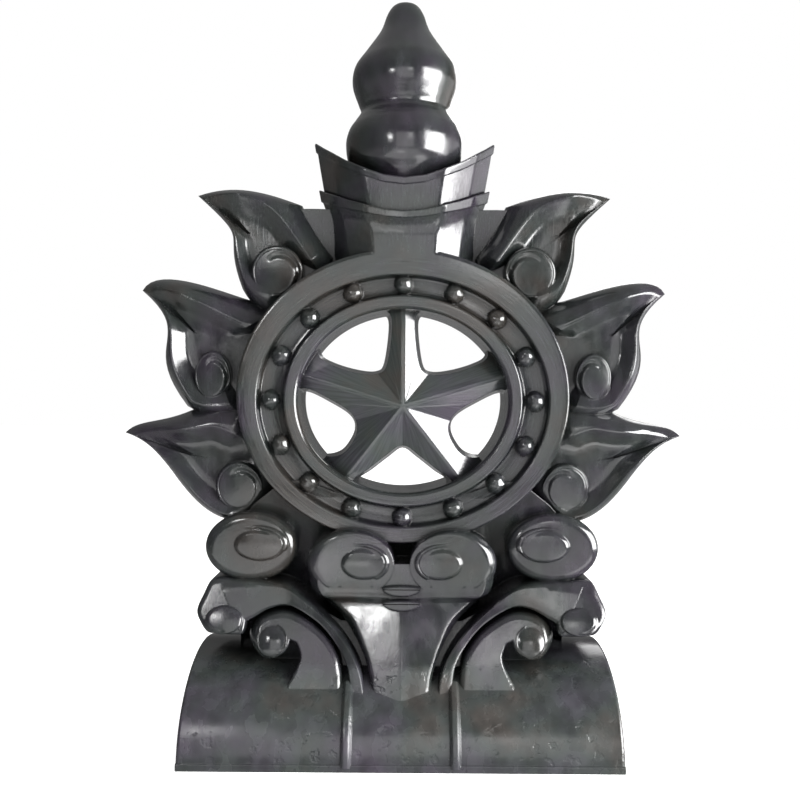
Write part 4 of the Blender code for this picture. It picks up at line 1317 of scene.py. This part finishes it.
zones = {}
for name, value, (low, high) in (("star", radius, STAR_REACH), ("ring", radius, RING_REACH),
                                 ("cup", parts["Z"], CUP_REACH), ("base", parts["Z"], BASE_REACH)):
    rise = add(tree, "ShaderNodeMapRange", {"From Min": low - ZONE_BORDER, "From Max": low + ZONE_BORDER},
               {"Value": value}).outputs["Result"]
    fall = add(tree, "ShaderNodeMapRange", {"From Min": high - ZONE_BORDER, "From Max": high + ZONE_BORDER,
                                            "To Min": 1.0, "To Max": 0.0}, {"Value": value}).outputs["Result"]
    zones[name] = add(tree, "ShaderNodeMath", {"operation": "MULTIPLY"}, {0: rise, 1: fall}).outputs["Value"]
print("zones:", sorted(zones))

# %% [markdown]
# ### Streaks
# Streaks are noise that is squeezed one way and stretched the other. They run round the ring,
# out along the star's arms, and upright on the cup. Elsewhere there are only short upright
# marks. The real ones are under a millimetre wide and would vanish in the picture, so they are
# drawn about twice as coarse.

# %% Streaks
STREAK_WIDTH = 0.0016
CUP_STREAK_LENGTH = 0.045
RING_STREAK_LENGTH = 0.0212
STAR_STREAK_WIDTH = 0.00147
STAR_STREAK_LENGTH = 0.0333
MARK_WIDTH = 0.0111
MARK_LENGTH = 0.025
STREAK_DETAIL = 3.0
# Angles are in radians, so a width at some radius is the radius over the number to the radian.
RING_SCALE = (1.0 / STREAK_WIDTH, BEAD_PATH[0] / RING_STREAK_LENGTH, 1.0)
STAR_SCALE = (1.0 / STAR_STREAK_LENGTH, STAR_VALLEY / STAR_STREAK_WIDTH, 1.0)
CUP_SCALE = (1.0 / STREAK_WIDTH, 1.0 / STREAK_WIDTH, 1.0 / CUP_STREAK_LENGTH)
MARK_SCALE = (1.0 / MARK_WIDTH, 1.0 / MARK_WIDTH, 1.0 / MARK_LENGTH)

streaks = None
for zone, scale, source in ((None, MARK_SCALE, place), ("ring", RING_SCALE, polar),
                            ("star", STAR_SCALE, polar), ("cup", CUP_SCALE, place)):
    stretched = add(tree, "ShaderNodeMapping", {"Scale": scale}, {"Vector": source}).outputs["Vector"]
    here = add(tree, "ShaderNodeTexNoise", {"Scale": 1.0, "Detail": STREAK_DETAIL}, {"Vector": stretched})
    if zone is None:
        streaks = here.outputs["Fac"]
    else:
        streaks = add(tree, "ShaderNodeMix", {}, {"Factor": zones[zone], "A": streaks,
                                                  "B": here.outputs["Fac"]}).outputs["Result"]
print("streaks to the metre on the cup:", round(CUP_SCALE[0]))

# %% [markdown]
# ### Colour
# Large clouds pick the grey from a ramp of four, streaks make it lighter and darker, and the
# paler zones lift it. Deep recesses are darkened by ambient occlusion, in the colour and in the
# reflections alike: this is painted shade.

# %% Colour
CLOUD = 0.060
CLOUD_GREYS = ((0.36, "1f1c22"), (0.47, "1c1d1f"), (0.55, "1b1e1d"), (0.66, "201e1c"))
STREAK_SHADES = (0.70, 1.35)
PALER_ZONES = (("star", 1.8), ("base", 1.8))
RECESS = 0.022
PAINTED_RECESS_SHADES = (0.40, 1.0)

clouds = add(tree, "ShaderNodeTexNoise", {"Scale": 1.0 / CLOUD, "Detail": 4.0}, {"Vector": place})
greys = add(tree, "ShaderNodeValToRGB", {}, {"Fac": clouds.outputs["Fac"]})
stops = greys.color_ramp.elements
for number, (spot, code) in enumerate(CLOUD_GREYS):
    stop = stops[number] if number < 2 else stops.new(spot)
    stop.position = spot
    stop.color = linear(code)

shades = [add(tree, "ShaderNodeMapRange", {"From Min": 0.3, "From Max": 0.7, "To Min": STREAK_SHADES[0],
                                           "To Max": STREAK_SHADES[1]}, {"Value": streaks})]
for zone, paler in PALER_ZONES:
    shades.append(add(tree, "ShaderNodeMapRange", {"To Min": 1.0, "To Max": paler}, {"Value": zones[zone]}))
# Painted shade: ambient occlusion darkens the base colour in recesses and, through the specular tint, their
# reflections too.
hidden = add(tree, "ShaderNodeAmbientOcclusion", {"samples": 4, "only_local": True, "Distance": RECESS})
painted_recess_shade = add(tree, "ShaderNodeMapRange",
             {"From Min": 0.30, "From Max": 0.80, "To Min": PAINTED_RECESS_SHADES[0], "To Max": PAINTED_RECESS_SHADES[1],
              "interpolation_type": "SMOOTHSTEP"}, {"Value": hidden.outputs["AO"]})
shades.append(painted_recess_shade)

paint = greys.outputs["Color"]
for shade in shades:
    paint = add(tree, "ShaderNodeMix", {"data_type": "RGBA", "blend_type": "MULTIPLY", "Factor": 1.0},
                {"A": paint, "B": shade.outputs["Result"]}).outputs["Result"]
tree.links.new(paint, shader.inputs["Base Color"])
# The same painted shade dims the reflections in recesses.
tree.links.new(painted_recess_shade.outputs["Result"], shader.inputs["Specular Tint"])
print("colour:", len(CLOUD_GREYS), "greys under", len(shades), "shades")

# %% [markdown]
# ### Gloss
# Roughness decides how sharp a lamp's reflection is. It follows the streaks, grows in patches
# where the polish is dull, and is highest on the base, which looks worn.

# %% Gloss
PATCH = 0.022
STREAK_ROUGHNESS = (0.09, 0.20)
PATCH_ROUGHNESS = 0.07
BASE_ROUGHNESS = 0.10

gloss = add(tree, "ShaderNodeMapRange", {"From Min": 0.3, "From Max": 0.7, "To Min": STREAK_ROUGHNESS[0],
                                         "To Max": STREAK_ROUGHNESS[1]}, {"Value": streaks})
patches = add(tree, "ShaderNodeTexNoise", {"Scale": 1.0 / PATCH, "Detail": 3.0}, {"Vector": place})
dull = add(tree, "ShaderNodeMapRange", {"From Min": 0.45, "From Max": 0.65, "To Min": 0.0,
                                        "To Max": PATCH_ROUGHNESS}, {"Value": patches.outputs["Fac"]})
worn = add(tree, "ShaderNodeMath", {"operation": "MULTIPLY_ADD", 1: BASE_ROUGHNESS},
           {0: zones["base"], 2: dull.outputs["Result"]})
rough = add(tree, "ShaderNodeMath", {"operation": "ADD"},
            {0: gloss.outputs["Result"], 1: worn.outputs["Value"]})
tree.links.new(rough.outputs["Value"], shader.inputs["Roughness"])
roughest = STREAK_ROUGHNESS[1] + PATCH_ROUGHNESS + BASE_ROUGHNESS
print("roughness: from", STREAK_ROUGHNESS[0], "to", round(roughest, 2))

# %% [markdown]
# ### Relief
# The flat faces have slow ripples, the whole skin a fine orange peel, the streaks a slight
# relief of their own, and the base has pits. Ripples are too slow and the rest too fine for the
# mesh, so they are bumps. Edges of a moulding are never quite sharp, and a Bevel node rounds
# their shading by about a millimetre without more faces. Peel and pits are drawn coarser than
# the real ones, which look about 1 and 3 mm across, to show in the picture.

# %% Relief
RIPPLE = 0.030
PEEL = 0.0030
PIT = 0.0080
EDGE_ROUND = 0.0010

ripple = add(tree, "ShaderNodeTexNoise", {"Scale": 1.0 / RIPPLE, "Detail": 2.0}, {"Vector": place})
peel = add(tree, "ShaderNodeTexNoise", {"Scale": 1.0 / PEEL, "Detail": 2.0}, {"Vector": place})
bubbles = add(tree, "ShaderNodeTexNoise", {"Scale": 1.0 / PIT, "Detail": 3.0}, {"Vector": place})
pits = add(tree, "ShaderNodeMapRange", {"From Min": 0.58, "From Max": 0.68, "To Min": 0.0, "To Max": -1.0},
           {"Value": bubbles.outputs["Fac"]})
base_pits = add(tree, "ShaderNodeMath", {"operation": "MULTIPLY"},
                {0: pits.outputs["Result"], 1: zones["base"]})
normal = add(tree, "ShaderNodeBevel", {"samples": 4, "Radius": EDGE_ROUND}).outputs["Normal"]
# Each relief is (its pattern, its strength, its depth).
for pattern, strength, depth in ((ripple.outputs["Fac"], 0.05, 0.0030), (peel.outputs["Fac"], 0.10, 0.0004),
                                 (streaks, 0.12, 0.0003), (base_pits.outputs["Value"], 0.35, 0.0006)):
    normal = add(tree, "ShaderNodeBump", {"Strength": strength, "Distance": depth},
                 {"Height": pattern, "Normal": normal}).outputs["Normal"]
tree.links.new(normal, shader.inputs["Normal"])
print("resin:", len(tree.nodes), "nodes")

# %% Give the ornament its finish and its place in the frame
ornament.data.materials.clear()
ornament.data.materials.append(resin)

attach(ornament, "root")
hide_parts("ridge_ornament")

# %% [markdown]
# ## The studio
# The photo is a plain shot on white. A glossy dark object shows hardly any colour of its own: what
# we see is what it mirrors. So every lamp is an area lamp that stands where the reflection of a
# patch in the photo asks for it. A ready made lighting picture would be quicker, but it couldn't
# be placed lamp by lamp.

# %% Floor
FLOOR_SIZE = 12.0
FLOOR_GLOW = 0.86

put_down()
bpy.ops.mesh.primitive_plane_add(size=FLOOR_SIZE, location=(0.0, 0.0, 0.0))
floor = bpy.context.object
floor.name = "floor"
floor.visible_glossy = False
pale = bpy.data.materials.new("pale_floor")
pale.use_nodes = True
pale_shader = pale.node_tree.nodes["Principled BSDF"]
pale_shader.inputs["Base Color"].default_value = linear("f2f2f0")
pale_shader.inputs["Roughness"].default_value = 0.9
pale_shader.inputs["Emission Color"].default_value = linear("ffffff")
pale_shader.inputs["Emission Strength"].default_value = FLOOR_GLOW
floor.data.materials.append(pale)
print("floor:", FLOOR_SIZE, "m")

# %% Camera
IMAGE_WIDTH = 800.0
CAMERA_PLACE = (0.0, -0.7304, 0.27556)
CAMERA_ROLL = math.radians(-0.4)
CAMERA_LENS = 39.6
CAMERA_SENSOR = 36.0
SHIFT_PIXELS = (-3.0, -7.0)

view = bpy.data.cameras.new("camera")
view.sensor_width = CAMERA_SENSOR
view.lens = CAMERA_LENS
view.shift_x = SHIFT_PIXELS[0] / IMAGE_WIDTH
view.shift_y = SHIFT_PIXELS[1] / IMAGE_WIDTH
camera = bpy.data.objects.new("camera", view)
camera.location = CAMERA_PLACE
camera.rotation_euler = (math.radians(90.0), CAMERA_ROLL, 0.0)
bpy.context.scene.collection.objects.link(camera)
bpy.context.scene.camera = camera
print("camera:", CAMERA_PLACE)

# %% Lamps
MIDDLE = (0.0, 0.0, 0.29)


def make_lamp(name, place, aim, size, brightness):
    """An area lamp of a given width, height and brightness. White paper in full light is 1."""
    width, height = size
    lamp = bpy.data.lights.new(name, "AREA")
    lamp.shape = "RECTANGLE"
    lamp.size = width
    lamp.size_y = height
    lamp.energy = brightness * math.pi * width * height
    place, aim = Vector(place), Vector(aim)
    turn = (aim - place).to_track_quat("-Z", "Y").to_matrix().to_4x4()
    thing = bpy.data.objects.new(name, lamp)
    thing.matrix_world = Matrix.Translation(place) @ turn
    thing.visible_camera = False
    bpy.context.scene.collection.objects.link(thing)


def make_table_lamp(name, place, size, brightness):
    """A panel that lies on the table and shines straight up."""
    make_lamp(name, place, (place[0], place[1], 1.0), size, brightness)


# The bright window on the right makes the white patches on star, ring, leaves and cup.
make_lamp("window", (1.646, -0.9375, 0.44), MIDDLE, (1.45, 1.15), 30.0)
# A soft panel in front, for all that looks straight at the camera, and a small card above it.
make_lamp("front_panel", (0.03, -1.5, 0.41), (0.03, 0.0, 0.41), (0.90, 0.78), 1.9)
make_lamp("high_card", (0.265, -1.48, 0.665), (0.10, 0.0, 0.10), (0.22, 0.21), 4.2)
# White table top, for all that looks down: brighter on the left, with two stronger spots.
make_table_lamp("table_left", (-0.195, -0.77, 0.004), (0.45, 0.90), 1.9)
make_table_lamp("table_right", (0.255, -0.77, 0.004), (0.45, 0.90), 1.35)
make_table_lamp("table_glow", (-0.10, -0.74, 0.006), (0.18, 0.24), 2.3)
make_table_lamp("floor_glow", (0.30, -0.31, 0.006), (0.20, 0.20), 3.5)
# A small strong lamp, up to the left, that the neck's left half mirrors, and a weak one below it.
make_lamp("neck_panel", (-0.423, -0.852, 0.562), (-0.0275, -0.045, 0.1025), (0.110, 0.100), 40.0)
make_lamp("neck_glow", (-0.450, -0.885, 0.452), (-0.02, -0.05, 0.070), (0.12, 0.10), 4.6)
# Panels at the side and behind, for the right walls, the rims and the top of the saddle.
make_lamp("side_panel", (1.945, -0.136, 0.35), (0.05, 0.0, 0.42), (0.5, 1.0), 6.0)
make_lamp("rim_panel", (1.45, 0.55, 0.35), MIDDLE, (1.0, 1.0), 1.3)
make_lamp("back_panel", (0.50, 1.20, 0.92), (0.14, 0.0, 0.07), (0.70, 0.50), 3.5)
print("lamps:", len(bpy.data.lights))

# %% [markdown]
# ## The room
# Behind the object the picture is plain white, yet the object mirrors a darker room: pale grey
# above, dark at eye level and grey below. One background does both, because it asks whether a
# ray comes from the camera.

# %% Room
SKY_HEIGHTS = (0.25, 0.90)
SKY_SHADES = (0.18, 0.50)
GROUND_HEIGHTS = (-0.05, -0.35)
GROUND_SHADES = (0.0, 0.40)

world = bpy.data.worlds.new("white_studio")
bpy.context.scene.world = world
world.use_nodes = True
room = world.node_tree
backdrop = room.nodes["Background"]
sight = add(room, "ShaderNodeLightPath")
direction = add(room, "ShaderNodeTexCoord")
height = add(room, "ShaderNodeSeparateXYZ", {}, {"Vector": direction.outputs["Generated"]}).outputs["Z"]
sky = add(room, "ShaderNodeMapRange",
          {"From Min": SKY_HEIGHTS[0], "From Max": SKY_HEIGHTS[1], "To Min": SKY_SHADES[0],
           "To Max": SKY_SHADES[1], "interpolation_type": "SMOOTHSTEP"}, {"Value": height})
ground = add(room, "ShaderNodeMapRange",
             {"From Min": GROUND_HEIGHTS[0], "From Max": GROUND_HEIGHTS[1], "To Min": GROUND_SHADES[0],
              "To Max": GROUND_SHADES[1]}, {"Value": height})
both = add(room, "ShaderNodeMath", {"operation": "ADD"},
           {0: sky.outputs["Result"], 1: ground.outputs["Result"]})
seen = add(room, "ShaderNodeMix", {"B": 1.0},
           {"Factor": sight.outputs["Is Camera Ray"], "A": both.outputs["Value"]})
room.links.new(seen.outputs["Result"], backdrop.inputs["Strength"])
backdrop.inputs["Color"].default_value = linear("ffffff")
bpy.context.scene.view_settings.view_transform = "Standard"
print("room:", len(room.nodes), "nodes")
